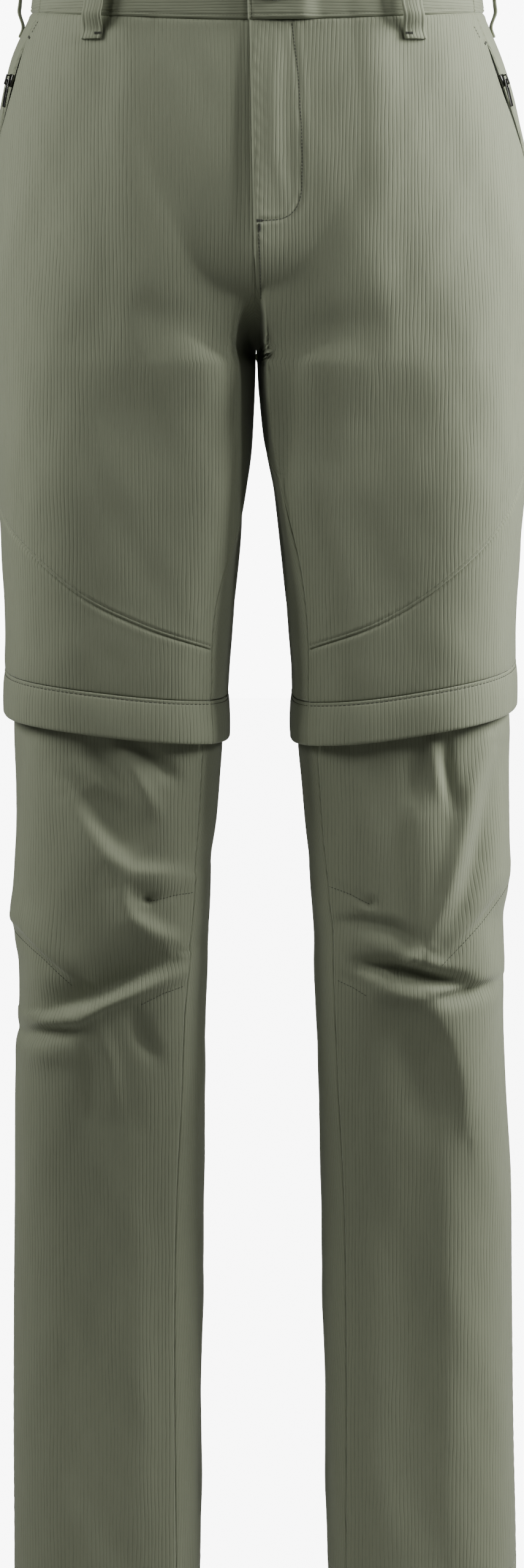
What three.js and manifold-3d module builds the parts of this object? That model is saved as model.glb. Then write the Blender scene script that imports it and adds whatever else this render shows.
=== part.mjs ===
// Trekking trousers with zip-off lower legs, in the hollow form they have when worn, in millimetres.
// X runs from the wearer's right to the wearer's left, the front faces -Y and +Z is up.
// The origin is the middle of the waist, level with the top of the waistband at the sides.
import * as THREE from 'three';
import { mergeVertices } from 'three/addons/utils/BufferGeometryUtils.js';
import Module from 'manifold-3d';

const wasm = await Module();
wasm.setup();

// Cloth
const CLOTH = 1.4;
const BAND_CLOTH = 2.4;
const SEAM_GAP = 0.3;
const LAYER = CLOTH + SEAM_GAP;

// Waist
const WAIST_TOP = { side: 0, front: -10, back: 5 };
const WAIST_SEAM = { side: -39, front: -48.5, back: -35 };
const BAND_OVERLAP = 30;
const BAND_LAP_GAP = 0.8;
const BAND_LAP_RAMP = 12;
const BAND_MIDDLE_Z = -20;
const FLY_LIP = 1.3;
const FLY_LIP_WIDTH = 9;
const FLY_LIP_FADE = { from: -208, to: -180 };
const SHIELD_WIDTH = 34;
const SHIELD_UNDERLAP = 9;
const SHIELD_BOTTOM_Z = -184;
const SHIELD_DEPTH = 1.1;
const BUTTON_RADIUS = 8.7;
const BUTTON_X = 8.3;
const BUTTON_Z = -29;

// Crotch and hem
const CROTCH_Z = -261;
const CROTCH_Y = 6;
const CROTCH_START_Z = -120;
const CROTCH_CURVE = { front: 6, back: 3.2 };
const CROTCH_SETTLE = 90;
const LEG_START_Z = -110;
const LEG_WHOLE_Z = -350;
const SIDE_SHARE = 1.2;
const SIDE_SPREAD = 2;
const HEM = { right: { level: -1081, front: -2 }, left: { level: -1077, front: -8 } };

// Zip that parts the lower leg, and the flap that covers it
const FLAP_HEIGHT = 28;
const FLAP_BULGE = { start: 0.2, height: 1.7, from: 0.04, to: 0.76 };
const FLAP_LINE = {
  right: { level: -469, inner: -8.5, front: -3.4 },
  left: { level: -465.5, inner: -11.5, front: -6.8 },
};
const FLAP_REACH = 75;
const FLAP_FACING_DROP = 6;
const ZIP_GAP = 12;
const ZIP_TAPE = 1.1;
const ZIP_TUCK = 3;
const ZIP_DEPTH = 0.45;
const ZIP_COIL = 1.3;
const ZIP_SHARES = [0, 0.33, 0.45, 0.55, 0.67, 1];
const ZIP_COIL_SHARE = { from: 0.4, to: 0.6 };

// Side pockets, closed by a zip in the side seam
const POCKET_TOP_Z = -58;
const POCKET_BOTTOM_Z = -208;
const POCKET_SLIT = 8.6;
const POCKET_END_ROUND = 2.6;
const POCKET_TAPE = 18;
const POCKET_TAPE_OVER = 5;
const POCKET_TAPE_SHARES = [-1, -0.24, -0.12, 0.12, 0.24, 1];
const POCKET_COIL_SHARE = 0.2;
const POCKET_COIL = 2.2;
const POCKET_COIL_CLEAR = 3;
const POCKET_DEPTH = 1.2;
const SLIDER = { z: -84, length: 8, width: 6.4, thick: 2, bridge: 1.6, bridgeSpan: 6.8, eye: 2.3, post: 1 };
const PULL = { length: 18, width: 4.6, thick: 1, bar: 1, slot: 4.6, slotWidth: 2.4, lean: 6 };

// Belt loops
const LOOP_WIDTH = 14;
const LOOP_CLOTH = 1.8;
const LOOP_STAND = 7.2;
const LOOP_TAIL = 15;
const LOOP_TOP_INSET = 0.6;
const LOOP_SHARES = [0, 0.1, 0.2, 0.32, 0.5, 0.66, 0.78, 0.88, 1];
const LOOP_PLACES = [
  { name: 'belt_loop_front_right', side: 'right', x: -99.5 },
  { name: 'belt_loop_front_left', side: 'left', x: 89 },
  { name: 'belt_loop_side_right', side: 'right', around: 0.52 },
  { name: 'belt_loop_side_left', side: 'left', around: 0.52 },
  { name: 'belt_loop_back', side: 'left', around: 1 },
];

// Front view: the outer and inner edge of each leg. Above the crotch both halves meet at the inner edge.
const OUTLINE = [
  { z: 10, rightOuter: -145.5, rightInner: -8, leftInner: -8, leftOuter: 139.5 },
  { z: -38, rightOuter: -148.5, rightInner: -8, leftInner: -8, leftOuter: 142.5 },
  { z: -51, rightOuter: -154, rightInner: -7.5, leftInner: -7.5, leftOuter: 147.5 },
  { z: -71, rightOuter: -162.5, rightInner: -7, leftInner: -7, leftOuter: 155.5 },
  { z: -99, rightOuter: -169.5, rightInner: -6.5, leftInner: -6.5, leftOuter: 164.5 },
  { z: -150, rightOuter: -176, rightInner: -5.5, leftInner: -5.5, leftOuter: 174.5 },
  { z: -207, rightOuter: -179, rightInner: -4.5, leftInner: -4.5, leftOuter: 179 },
  { z: -261, rightOuter: -175.6, rightInner: -3.6, leftInner: -3.6, leftOuter: 175.3 },
  { z: -283, rightOuter: -174.3, rightInner: -4.7, leftInner: -2.2, leftOuter: 174.3 },
  { z: -314, rightOuter: -172.9, rightInner: -7.8, leftInner: 1.8, leftOuter: 172.5 },
  { z: -346, rightOuter: -171.5, rightInner: -12.4, leftInner: 7.8, leftOuter: 171.1 },
  { z: -378, rightOuter: -169.8, rightInner: -14.2, leftInner: 11.8, leftOuter: 168.3 },
  { z: -411, rightOuter: -168, rightInner: -17, leftInner: 15, leftOuter: 166.3 },
  { z: -443, rightOuter: -167.3, rightInner: -20.4, leftInner: 18.7, leftOuter: 165.3 },
  { z: -470, rightOuter: -167.3, rightInner: -22.2, leftInner: 19.8, leftOuter: 165 },
  { z: -481, rightOuter: -162.6, rightInner: -25, leftInner: 22.8, leftOuter: 161.6 },
  { z: -507, rightOuter: -161.8, rightInner: -25.8, leftInner: 23.5, leftOuter: 161.5 },
  { z: -556, rightOuter: -160.8, rightInner: -29.3, leftInner: 27.6, leftOuter: 162 },
  { z: -588, rightOuter: -162.1, rightInner: -33.3, leftInner: 30.5, leftOuter: 162.2 },
  { z: -605, rightOuter: -162.9, rightInner: -33.9, leftInner: 31.8, leftOuter: 161 },
  { z: -621, rightOuter: -163.9, rightInner: -34.6, leftInner: 33.2, leftOuter: 158 },
  { z: -637, rightOuter: -162.2, rightInner: -35.4, leftInner: 34.2, leftOuter: 158.4 },
  { z: -654, rightOuter: -159.8, rightInner: -35.9, leftInner: 34.3, leftOuter: 159.2 },
  { z: -686, rightOuter: -160.6, rightInner: -37.1, leftInner: 35.5, leftOuter: 158.8 },
  { z: -736, rightOuter: -163, rightInner: -37.1, leftInner: 36.8, leftOuter: 160.9 },
  { z: -801, rightOuter: -163.8, rightInner: -38.2, leftInner: 38.8, leftOuter: 165 },
  { z: -880, rightOuter: -165, rightInner: -39.2, leftInner: 40.2, leftOuter: 166.2 },
  { z: -968, rightOuter: -165.6, rightInner: -40.2, leftInner: 41.9, leftOuter: 167.6 },
  { z: -1052, rightOuter: -165.4, rightInner: -41, leftInner: 43.5, leftOuter: 169.7 },
  { z: -1095, rightOuter: -165.4, rightInner: -42.2, leftInner: 45.2, leftOuter: 169.9 },
];

// Side view: the front, the widest line of the side, and the back.
const PROFILE = [
  { z: 10, front: -102, side: 2, back: 106 },
  { z: -45, front: -107, side: 2, back: 114 },
  { z: -90, front: -113, side: 4, back: 124 },
  { z: -150, front: -118, side: 6, back: 133 },
  { z: -207, front: -119, side: 8, back: 138 },
  { z: -261, front: -113, side: 6, back: 124 },
  { z: -300, front: -107, side: 2, back: 106 },
  { z: -346, front: -102, side: -2, back: 94 },
  { z: -411, front: -96.5, side: -4, back: 86 },
  { z: -470, front: -92, side: -5, back: 81 },
  { z: -481, front: -87, side: -5, back: 76 },
  { z: -520, front: -84, side: -6, back: 73 },
  { z: -600, front: -82, side: -9, back: 63 },
  { z: -660, front: -79, side: -8, back: 60 },
  { z: -720, front: -70, side: -3, back: 66 },
  { z: -801, front: -61, side: 3, back: 72 },
  { z: -880, front: -57, side: 4, back: 71 },
  { z: -968, front: -57, side: 1, back: 64 },
  { z: -1095, front: -61, side: -2, back: 58 },
];
const BACK_CENTRE_X = -3.6;
const BACK_CENTRE_RUN = 40;

// How square each quarter of a section is: 2 is an ellipse, and more than 2 fills its corner.
const FRONT_INNER_SQUARE = [
  { z: 10, power: 5 },
  { z: -250, power: 5.5 },
  { z: -330, power: 5 },
  { z: -420, power: 3.6 },
  { z: -520, power: 3.3 },
  { z: -1095, power: 3.2 },
];
const FRONT_OUTER_SQUARE = 2.8;
const BACK_SQUARE = 2.3;
const TRUNK_SQUARE = { front: 2.65, back: 2.35 };

// How far the side seam lies forward of the side, along the cloth.
const SIDE_SEAMS = [
  { z: 10, forward: 49 },
  { z: -58, forward: 50 },
  { z: -93, forward: 50 },
  { z: -125, forward: 39 },
  { z: -160, forward: 27 },
  { z: -208, forward: 15 },
  { z: -261, forward: 9 },
  { z: -310, forward: 6 },
  { z: -385, forward: 3 },
  { z: -507, forward: 2 },
  { z: -700, forward: 2 },
  { z: -840, forward: 4 },
  { z: -968, forward: 8 },
  { z: -1095, forward: 10 },
];

// How far the inseam stands in from the leg's inner edge, as seen from the front. From the crotch it
// starts at the inner edge, and comes forward by so many millimetres for each one down.
const INSEAMS = [
  { z: -261, right: 0, left: 0 },
  { z: -330, right: 0.8, left: 6.4 },
  { z: -358, right: 1.9, left: 9.1 },
  { z: -393, right: 10.3, left: 13.3 },
  { z: -423, right: 14.3, left: 14.4 },
  { z: -473, right: 12.8, left: 12.2 },
  { z: -505, right: 14, left: 13.6 },
  { z: -563, right: 12.8, left: 12.5 },
  { z: -603, right: 11.3, left: 13 },
  { z: -703, right: 15.2, left: 13.7 },
  { z: -845, right: 19.4, left: 16.4 },
  { z: -1054, right: 17, left: 13.6 },
  { z: -1095, right: 15.6, left: 12.4 },
];
const INSEAM_RISE = { right: 0.62, left: 1.1 };

// The slanted seam above the knee: its share of the way from inseam to side seam, and its height.
const KNEE_SEAM = {
  right: [
    { share: 0, z: -445 },
    { share: 0.25, z: -428.5 },
    { share: 0.46, z: -410.5 },
    { share: 0.67, z: -380 },
    { share: 1, z: -336 },
  ],
  left: [
    { share: 0, z: -445 },
    { share: 0.27, z: -425.5 },
    { share: 0.47, z: -403.5 },
    { share: 0.69, z: -366 },
    { share: 1, z: -292 },
  ],
};

// Large folds of the legs: two ends in front view, half width, and height out of the cloth.
const FOLDS = [
  { side: 'right', fromX: -122, fromZ: -545, toX: -85, toZ: -588, width: 13, height: 5 },
  { side: 'right', fromX: -85, fromZ: -588, toX: -50, toZ: -590, width: 11, height: 4 },
  { side: 'right', fromX: -101, fromZ: -528, toX: -80, toZ: -572, width: 13, height: -4.5 },
  { side: 'right', fromX: -86, fromZ: -590, toX: -82, toZ: -620, width: 10, height: 4 },
  { side: 'right', fromX: -82, fromZ: -620, toX: -54, toZ: -634, width: 9, height: 4.5 },
  { side: 'right', fromX: -52, fromZ: -642, toX: -98, toZ: -663, width: 10, height: -8 },
  { side: 'right', fromX: -98, fromZ: -663, toX: -143, toZ: -683, width: 10, height: -7 },
  { side: 'right', fromX: -78, fromZ: -675, toX: -144, toZ: -693, width: 9, height: 4.5 },
  { side: 'right', fromX: -158, fromZ: -620, toX: -121, toZ: -650, width: 11, height: 4 },
  { side: 'right', fromX: -60, fromZ: -604, toX: -125, toZ: -618, width: 8, height: -4, face: 'back' },
  { side: 'right', fromX: -75, fromZ: -638, toX: -145, toZ: -630, width: 9, height: -5, face: 'back' },
  { side: 'right', fromX: -55, fromZ: -664, toX: -120, toZ: -655, width: 8, height: -4, face: 'back' },
  { side: 'left', fromX: 128, fromZ: -505, toX: 131, toZ: -545, width: 12, height: 4 },
  { side: 'left', fromX: 131, fromZ: -545, toX: 119, toZ: -598, width: 12, height: 5 },
  { side: 'left', fromX: 119, fromZ: -598, toX: 104, toZ: -638, width: 10, height: 5 },
  { side: 'left', fromX: 151, fromZ: -523, toX: 139, toZ: -572, width: 12, height: -4 },
  { side: 'left', fromX: 139, fromZ: -572, toX: 116, toZ: -628, width: 10, height: -5 },
  { side: 'left', fromX: 58, fromZ: -632, toX: 102, toZ: -646, width: 9, height: 4.5 },
  { side: 'left', fromX: 64, fromZ: -651, toX: 130, toZ: -662, width: 9, height: -8 },
  { side: 'left', fromX: 72, fromZ: -667, toX: 112, toZ: -678, width: 8, height: 4.5 },
  { side: 'left', fromX: 112, fromZ: -673, toX: 151, toZ: -668, width: 8, height: -4 },
  { side: 'left', fromX: 112, fromZ: -680, toX: 126, toZ: -722, width: 9, height: 3.5 },
  { side: 'left', fromX: 62, fromZ: -600, toX: 128, toZ: -612, width: 8, height: -4, face: 'back' },
  { side: 'left', fromX: 70, fromZ: -634, toX: 142, toZ: -626, width: 9, height: -5, face: 'back' },
  { side: 'left', fromX: 58, fromZ: -668, toX: 118, toZ: -654, width: 8, height: -4, face: 'back' },
];

const SIGN = { right: -1, left: 1 };
const OTHER = { right: 'left', left: 'right' };

// Reads one column of a table at a height, on a smooth curve through its rows.
function column(rows, key, at, by = 'z') {
  const last = rows.length - 1;
  const down = rows[0][by] > rows[last][by] ? -1 : 1;
  let i = 0;
  while (i < last - 1 && (at - rows[i + 1][by]) * down > 0) i += 1;
  const slope = (j) => {
    const a = rows[Math.max(j - 1, 0)];
    const b = rows[Math.min(j + 1, last)];
    return (b[key] - a[key]) / (b[by] - a[by]);
  };
  const span = rows[i + 1][by] - rows[i][by];
  const t = THREE.MathUtils.clamp((at - rows[i][by]) / span, 0, 1);
  const h = t * t * (3 - 2 * t);
  const h1 = t * (1 - t) * (1 - t);
  const h2 = t * t * (t - 1);
  return rows[i][key] * (1 - h) + rows[i + 1][key] * h + span * (h1 * slope(i) + h2 * slope(i + 1));
}

const mix = THREE.MathUtils.lerp;
const smooth = THREE.MathUtils.smoothstep;

// The line where the flap is stitched on, at a place around the leg.
function flapLine(side, around) {
  const line = FLAP_LINE[side];
  const turn = 2 * Math.PI * around;
  return line.level + line.inner * Math.cos(turn) + line.front * Math.sin(turn);
}

// The radius of a section with square corners, as a share of that of an ellipse.
function fuller(angle, power) {
  return (Math.abs(Math.cos(angle)) ** power + Math.abs(Math.sin(angle)) ** power) ** (-1 / power);
}

// One point of the body of the garment. The place around runs from 0 at the centre front or inner leg,
// over the front to 0.5 at the side, and over the back to 1 at the centre back or inner leg again.
function skin(side, around, z) {
  if (around < 0 && z > CROTCH_Z) return skin(OTHER[side], -around, z);
  if (around > 1 && z > CROTCH_Z) return skin(OTHER[side], 2 - around, z);
  const turn = ((around % 1) + 1) % 1 || (around >= 1 ? 1 : 0);
  const lift = flapLine(side, turn) - FLAP_LINE[side].level;
  const near = 1 - smooth(Math.abs(z - FLAP_LINE[side].level), 0, FLAP_REACH);
  const level = z - lift * near;
  const outer = column(OUTLINE, side + 'Outer', level);
  const inner = column(OUTLINE, side + 'Inner', level) + SIGN[side] * SEAM_GAP / 2;
  const front = column(PROFILE, 'front', level);
  const sideY = column(PROFILE, 'side', level);
  const back = column(PROFILE, 'back', level);

  const legAngle = 2 * Math.PI * turn;
  const frontSquare = Math.cos(legAngle) > 0 ? column(FRONT_INNER_SQUARE, 'power', z) : FRONT_OUTER_SQUARE;
  const legFull = fuller(legAngle, Math.sin(legAngle) < 0 ? BACK_SQUARE : frontSquare);
  const legDepth = Math.sin(legAngle) > 0 ? sideY - front : back - sideY;
  const innerY = mix(CROTCH_Y, sideY, smooth(CROTCH_Z - z, 0, CROTCH_SETTLE));
  const legX = (outer + inner) / 2 - (outer - inner) / 2 * Math.cos(legAngle) * legFull;
  const legMiddle = mix(innerY, sideY, (1 - Math.cos(legAngle)) / 2);
  const legY = legMiddle - legDepth * Math.sin(legAngle) * legFull;
  if (z <= LEG_WHOLE_Z) return new THREE.Vector3(legX, legY, z);

  const trunkAngle = Math.PI * turn;
  const trunkFull = fuller(trunkAngle, turn < 0.5 ? TRUNK_SQUARE.front : TRUNK_SQUARE.back);
  const toInner = 1 - smooth(z, CROTCH_Z, CROTCH_Z + BACK_CENTRE_RUN);
  const backCentre = mix(BACK_CENTRE_X + SIGN[side] * SEAM_GAP / 2, inner, toInner);
  const centre = turn < 0.5 ? inner : backCentre;
  const trunkX = centre + (outer - centre) * Math.sin(trunkAngle) * trunkFull;
  const trunkDepth = turn < 0.5 ? sideY - front : back - sideY;
  const trunkY = sideY - trunkDepth * Math.cos(trunkAngle) * trunkFull;
  const below = THREE.MathUtils.clamp((CROTCH_START_Z - z) / (CROTCH_START_Z - CROTCH_Z), 0, 1);
  const atCentre = below ** (turn < 0.5 ? CROTCH_CURVE.front : CROTCH_CURVE.back);
  const atSide = 1 - smooth(z, LEG_WHOLE_Z, LEG_START_Z);
  const towardsSide = 1 - (1 - Math.sin(trunkAngle) ** SIDE_SHARE) ** SIDE_SPREAD;
  const legShare = mix(atCentre, atSide, towardsSide);
  return new THREE.Vector3(mix(trunkX, legX, legShare), mix(trunkY, legY, legShare), z);
}

const STEP_AROUND = 0.004;
const STEP_DOWN = 1.5;

// Places around at which the length of the cloth is read beside a seam.
const BY_CENTRE = 0.02;
const BY_INSEAM = 0.05;
const BY_SIDE = 0.48;

// Millimetres of cloth for one whole turn of the place around, at one place.
function stretch(side, around, z) {
  const a = skin(side, around - STEP_AROUND, z);
  const b = skin(side, around + STEP_AROUND, z);
  return a.distanceTo(b) / (2 * STEP_AROUND);
}

// Outward direction of the skin. Where the halves meet above the crotch, only this half is read.
function outward(side, around, z) {
  const lowest = z > CROTCH_Z && around >= 0 ? 0 : -Infinity;
  const highest = z > CROTCH_Z && around <= 1 ? 1 : Infinity;
  const a = skin(side, Math.max(around - STEP_AROUND, lowest), z);
  const b = skin(side, Math.min(around + STEP_AROUND, highest), z);
  const c = skin(side, around, z + STEP_DOWN);
  const d = skin(side, around, z - STEP_DOWN);
  const normal = b.sub(a).cross(c.sub(d)).normalize();
  return normal.multiplyScalar(SIGN[side]);
}

// Height of the folds at a point of the skin.
function foldHeight(side, point) {
  let height = 0;
  for (const fold of FOLDS) {
    const onBack = fold.face === 'back';
    if (fold.side !== side || onBack !== point.y > 0) continue;
    const dx = fold.toX - fold.fromX;
    const dz = fold.toZ - fold.fromZ;
    const along = ((point.x - fold.fromX) * dx + (point.z - fold.fromZ) * dz) / (dx * dx + dz * dz);
    const t = THREE.MathUtils.clamp(along, 0, 1);
    const off = Math.hypot(point.x - fold.fromX - t * dx, point.z - fold.fromZ - t * dz);
    const taper = 0.35 + 0.65 * Math.sin(Math.PI * t);
    height += fold.height * taper * Math.exp(-((off / fold.width) ** 2));
  }
  return height;
}

// The inseam's place around, found by halving. It is read once for each even height.
const HALVINGS = 22;
const FARTHEST_INSEAM = 0.2;
const HEIGHT_STEP = 2;
const inseamPlaces = { right: new Map(), left: new Map() };

function findInseam(side, z) {
  const inset = column(INSEAMS, side, z);
  const inner = skin(side, 0, z).x;
  let low = 0;
  let high = FARTHEST_INSEAM;
  for (let i = 0; i < HALVINGS; i += 1) {
    const middle = (low + high) / 2;
    if (Math.abs(skin(side, middle, z).x - inner) < inset) low = middle;
    else high = middle;
  }
  return Math.min(low, INSEAM_RISE[side] * (CROTCH_Z - z) / stretch(side, BY_INSEAM, z));
}

function inseamPlace(side, z) {
  if (z > CROTCH_Z) return 0;
  const steps = (CROTCH_Z - z) / HEIGHT_STEP;
  const whole = Math.floor(steps);
  const known = inseamPlaces[side];
  for (const i of [whole, whole + 1]) {
    if (!known.has(i)) known.set(i, findInseam(side, CROTCH_Z - i * HEIGHT_STEP));
  }
  return mix(known.get(whole), known.get(whole + 1), steps - whole);
}

// The side seam's place around, from its distance forward of the side.
function sideSeamPlace(side, z) {
  return 0.5 - column(SIDE_SEAMS, 'forward', z) / stretch(side, BY_SIDE, z);
}

// The seams that run around the garment.
function waistLine(heights, around) {
  const turn = Math.abs(around);
  const share = Math.cos(Math.PI * turn);
  return mix(heights.side, share > 0 ? heights.front : heights.back, share * share);
}

const waistTop = (around) => waistLine(WAIST_TOP, around);
const waistSeam = (around) => waistLine(WAIST_SEAM, around);

function kneeSeam(side, around) {
  const rows = KNEE_SEAM[side];
  const from = inseamPlace(side, rows[0].z);
  const to = sideSeamPlace(side, rows[rows.length - 1].z);
  const share = THREE.MathUtils.clamp((around - from) / (to - from), 0, 1);
  return column(rows, 'z', share, 'share');
}

function hemLine(side, around) {
  return HEM[side].level + HEM[side].front * Math.sin(2 * Math.PI * around);
}

// A closed wall from two grids of points, outer and inner, of the same rows and columns.
function wallGeometry(outer, inner, flip) {
  const rows = outer.length;
  const columns = outer[0].length;
  const positions = [];
  for (const grid of [outer, inner]) {
    for (const row of grid) {
      for (const point of row) positions.push(point.x, point.y, point.z);
    }
  }
  const index = [];
  const outerAt = (r, c) => r * columns + c;
  const innerAt = (r, c) => (rows + r) * columns + c;
  const quad = (a, b, c, d) => {
    if (flip) index.push(a, c, b, a, d, c);
    else index.push(a, b, c, a, c, d);
  };
  for (let r = 0; r < rows - 1; r += 1) {
    for (let c = 0; c < columns - 1; c += 1) {
      quad(outerAt(r, c), outerAt(r + 1, c), outerAt(r + 1, c + 1), outerAt(r, c + 1));
      quad(innerAt(r, c), innerAt(r, c + 1), innerAt(r + 1, c + 1), innerAt(r + 1, c));
    }
    quad(outerAt(r, 0), innerAt(r, 0), innerAt(r + 1, 0), outerAt(r + 1, 0));
    const end = columns - 1;
    quad(outerAt(r, end), outerAt(r + 1, end), innerAt(r + 1, end), innerAt(r, end));
  }
  const foot = rows - 1;
  for (let c = 0; c < columns - 1; c += 1) {
    quad(outerAt(0, c), outerAt(0, c + 1), innerAt(0, c + 1), innerAt(0, c));
    quad(outerAt(foot, c), innerAt(foot, c), innerAt(foot, c + 1), outerAt(foot, c + 1));
  }
  const geometry = new THREE.BufferGeometry();
  geometry.setAttribute('position', new THREE.Float32BufferAttribute(positions, 3));
  geometry.setIndex(index);
  geometry.computeVertexNormals();
  return geometry;
}

// A piece of cloth cut out of the skin. from and to give its side edges at a height, top and bottom
// give its other edges at a place around, and rows is a list of heights from top to bottom, which keep
// their place at the pinned height and follow the edges above and below it. raise moves the outer face
// out of the skin. Each edge stays half a seam gap inside its line, except where meet says that the
// halves of the skin already stand apart.
const FIRST_AROUND = 0.25;
const EDGE_PASSES = 6;

function clothPiece({
  side, from, to, top, bottom, rows, pin = rows[0], columns, wall = CLOTH, raise = () => 0, meet = [0, 0],
}) {
  const outer = [];
  const inner = [];
  const half = SEAM_GAP / 2;
  const pinned = pin < rows[0];
  for (const height of rows) {
    const outerRow = [];
    const innerRow = [];
    for (const across of columns) {
      const firstZ = top(FIRST_AROUND);
      let around = mix(from(firstZ), to(firstZ), across);
      let z = firstZ;
      for (let pass = 0; pass < EDGE_PASSES; pass += 1) {
        const upper = top(around) - half;
        const lower = bottom(around) + half;
        const fixed = pinned ? pin : upper;
        if (height > pin) z = mix(pin, upper, (height - pin) / (rows[0] - pin));
        else z = mix(fixed, lower, (pin - height) / (pin - rows[rows.length - 1]));
        const edge = half / stretch(side, around, z);
        const start = from(z) + (meet[0] && z > CROTCH_Z ? 0 : edge);
        const end = to(z) - (meet[1] && z > CROTCH_Z ? 0 : edge);
        around = mix(start, end, across);
      }
      const point = skin(side, around, z);
      const normal = outward(side, around, z);
      const rise = raise(around, z) + foldHeight(side, point);
      outerRow.push(point.clone().addScaledVector(normal, rise));
      innerRow.push(point.clone().addScaledVector(normal, rise - wall));
    }
    outer.push(outerRow);
    inner.push(innerRow);
  }
  return wallGeometry(outer, inner, side === 'right');
}

// Heights of the rows of points
const UPPER_HEIGHTS = [
  -48, -60, -78, -98, -122, -148, -175, -198, -216, -232, -244, -253,
  CROTCH_Z, -270, -285, -305, -325, -345, -365, -385, -405, -425, -445,
];
const BACK_HEIGHTS = [
  -36, -50, -70, -95, -122, -148, -175, -198, -216, -232, -244, -253,
  CROTCH_Z, -270, -285, -305, -325, -345, -365, -385, -405, -425, -445, -456, -467, -478,
];
const SHIN_HEIGHTS = [
  -485, -505, -530, -555, -575, -590, -603, -615, -626, -636, -646, -656,
  -667, -679, -693, -712, -740, -780, -840, -910, -980, -1045, -1079,
];
const evenShares = (count) => Array.from({ length: count + 1 }, (_, i) => i / count);
const evenRows = (count) => evenShares(count).map((share) => -share);

// Shares across a front from inseam to side seam, closer together at both, and across a back.
const ACROSS_FRONT = [0, 0.04, 0.1, 0.2, 0.32, 0.44, 0.56, 0.66, 0.75, 0.82, 0.88, 0.94, 1];
const ACROSS_SHIN = [
  0, 0.03, 0.08, 0.14, 0.21, 0.28, 0.36, 0.43, 0.5, 0.57, 0.64, 0.71, 0.78, 0.84, 0.9, 0.95, 1,
];
const ACROSS_BACK = ACROSS_FRONT.map((share) => 1 - share).reverse();

// Colours
const cloth = (tint) => new THREE.MeshStandardMaterial({ color: tint, roughness: 0.85, metalness: 0 });
const metal = (tint) => new THREE.MeshStandardMaterial({ color: tint, roughness: 0.3, metalness: 1 });
const CLOTH_COLOUR = 0x7b7f6c;
const BAND_COLOUR = 0x74786a;
const TRIM_COLOUR = 0x4c5046;
const METAL_COLOUR = 0x8d8f8c;

const group = new THREE.Group();

function add(name, geometry, material) {
  const mesh = new THREE.Mesh(geometry, material);
  mesh.name = name;
  group.add(mesh);
  return mesh;
}

// The edge of the fly stands up a little, as the thicker fold of the overlap does.
function flyLip(around, z) {
  const across = around * stretch('left', BY_CENTRE, z);
  const down = smooth(z, FLY_LIP_FADE.from, FLY_LIP_FADE.to);
  return FLY_LIP * down * (1 - smooth(across, FLY_LIP_WIDTH / 4, FLY_LIP_WIDTH));
}

const pocketHalf = (z) => {
  const share = THREE.MathUtils.clamp((POCKET_TOP_Z - z) / (POCKET_TOP_Z - POCKET_BOTTOM_Z), 0, 1);
  return POCKET_SLIT / 2 * Math.min(1, POCKET_END_ROUND * Math.sqrt(share * (1 - share)));
};

function pocketEdge(side, direction) {
  return (z) => {
    const place = sideSeamPlace(side, z);
    return place + direction * pocketHalf(z) / stretch(side, place, z);
  };
}

function addLegs(side) {
  const inseam = (z) => inseamPlace(side, z);
  add(`front_${side}`, clothPiece({
    side,
    from: inseam,
    to: pocketEdge(side, -1),
    top: waistSeam,
    bottom: (around) => kneeSeam(side, around),
    rows: UPPER_HEIGHTS,
    pin: CROTCH_Z,
    columns: ACROSS_FRONT,
    meet: [1, 0],
    raise: side === 'left' ? flyLip : undefined,
  }), cloth(CLOTH_COLOUR));
  add(`back_${side}`, clothPiece({
    side,
    from: pocketEdge(side, 1),
    to: (z) => 1 + inseamPlace(side, z),
    top: waistSeam,
    bottom: (around) => flapLine(side, around),
    rows: BACK_HEIGHTS,
    pin: CROTCH_Z,
    columns: ACROSS_BACK,
    meet: [0, 1],
  }), cloth(CLOTH_COLOUR));
  add(`knee_panel_${side}`, clothPiece({
    side,
    from: inseam,
    to: (z) => sideSeamPlace(side, z),
    top: (around) => kneeSeam(side, around),
    bottom: (around) => flapLine(side, around),
    rows: evenRows(6),
    columns: ACROSS_FRONT,
  }), cloth(CLOTH_COLOUR));
  addFlap(side);
  addLegZip(side);
  const shinTop = (around) => flapLine(side, around) - ZIP_GAP;
  add(`shin_front_${side}`, clothPiece({
    side,
    from: inseam,
    to: (z) => sideSeamPlace(side, z),
    top: shinTop,
    bottom: (around) => hemLine(side, around),
    rows: SHIN_HEIGHTS,
    columns: ACROSS_SHIN,
  }), cloth(CLOTH_COLOUR));
  add(`shin_back_${side}`, clothPiece({
    side,
    from: (z) => sideSeamPlace(side, z),
    to: (z) => 1 + inseamPlace(side, z),
    top: shinTop,
    bottom: (around) => hemLine(side, around),
    rows: SHIN_HEIGHTS,
    columns: ACROSS_BACK,
  }), cloth(CLOTH_COLOUR));
}

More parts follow.
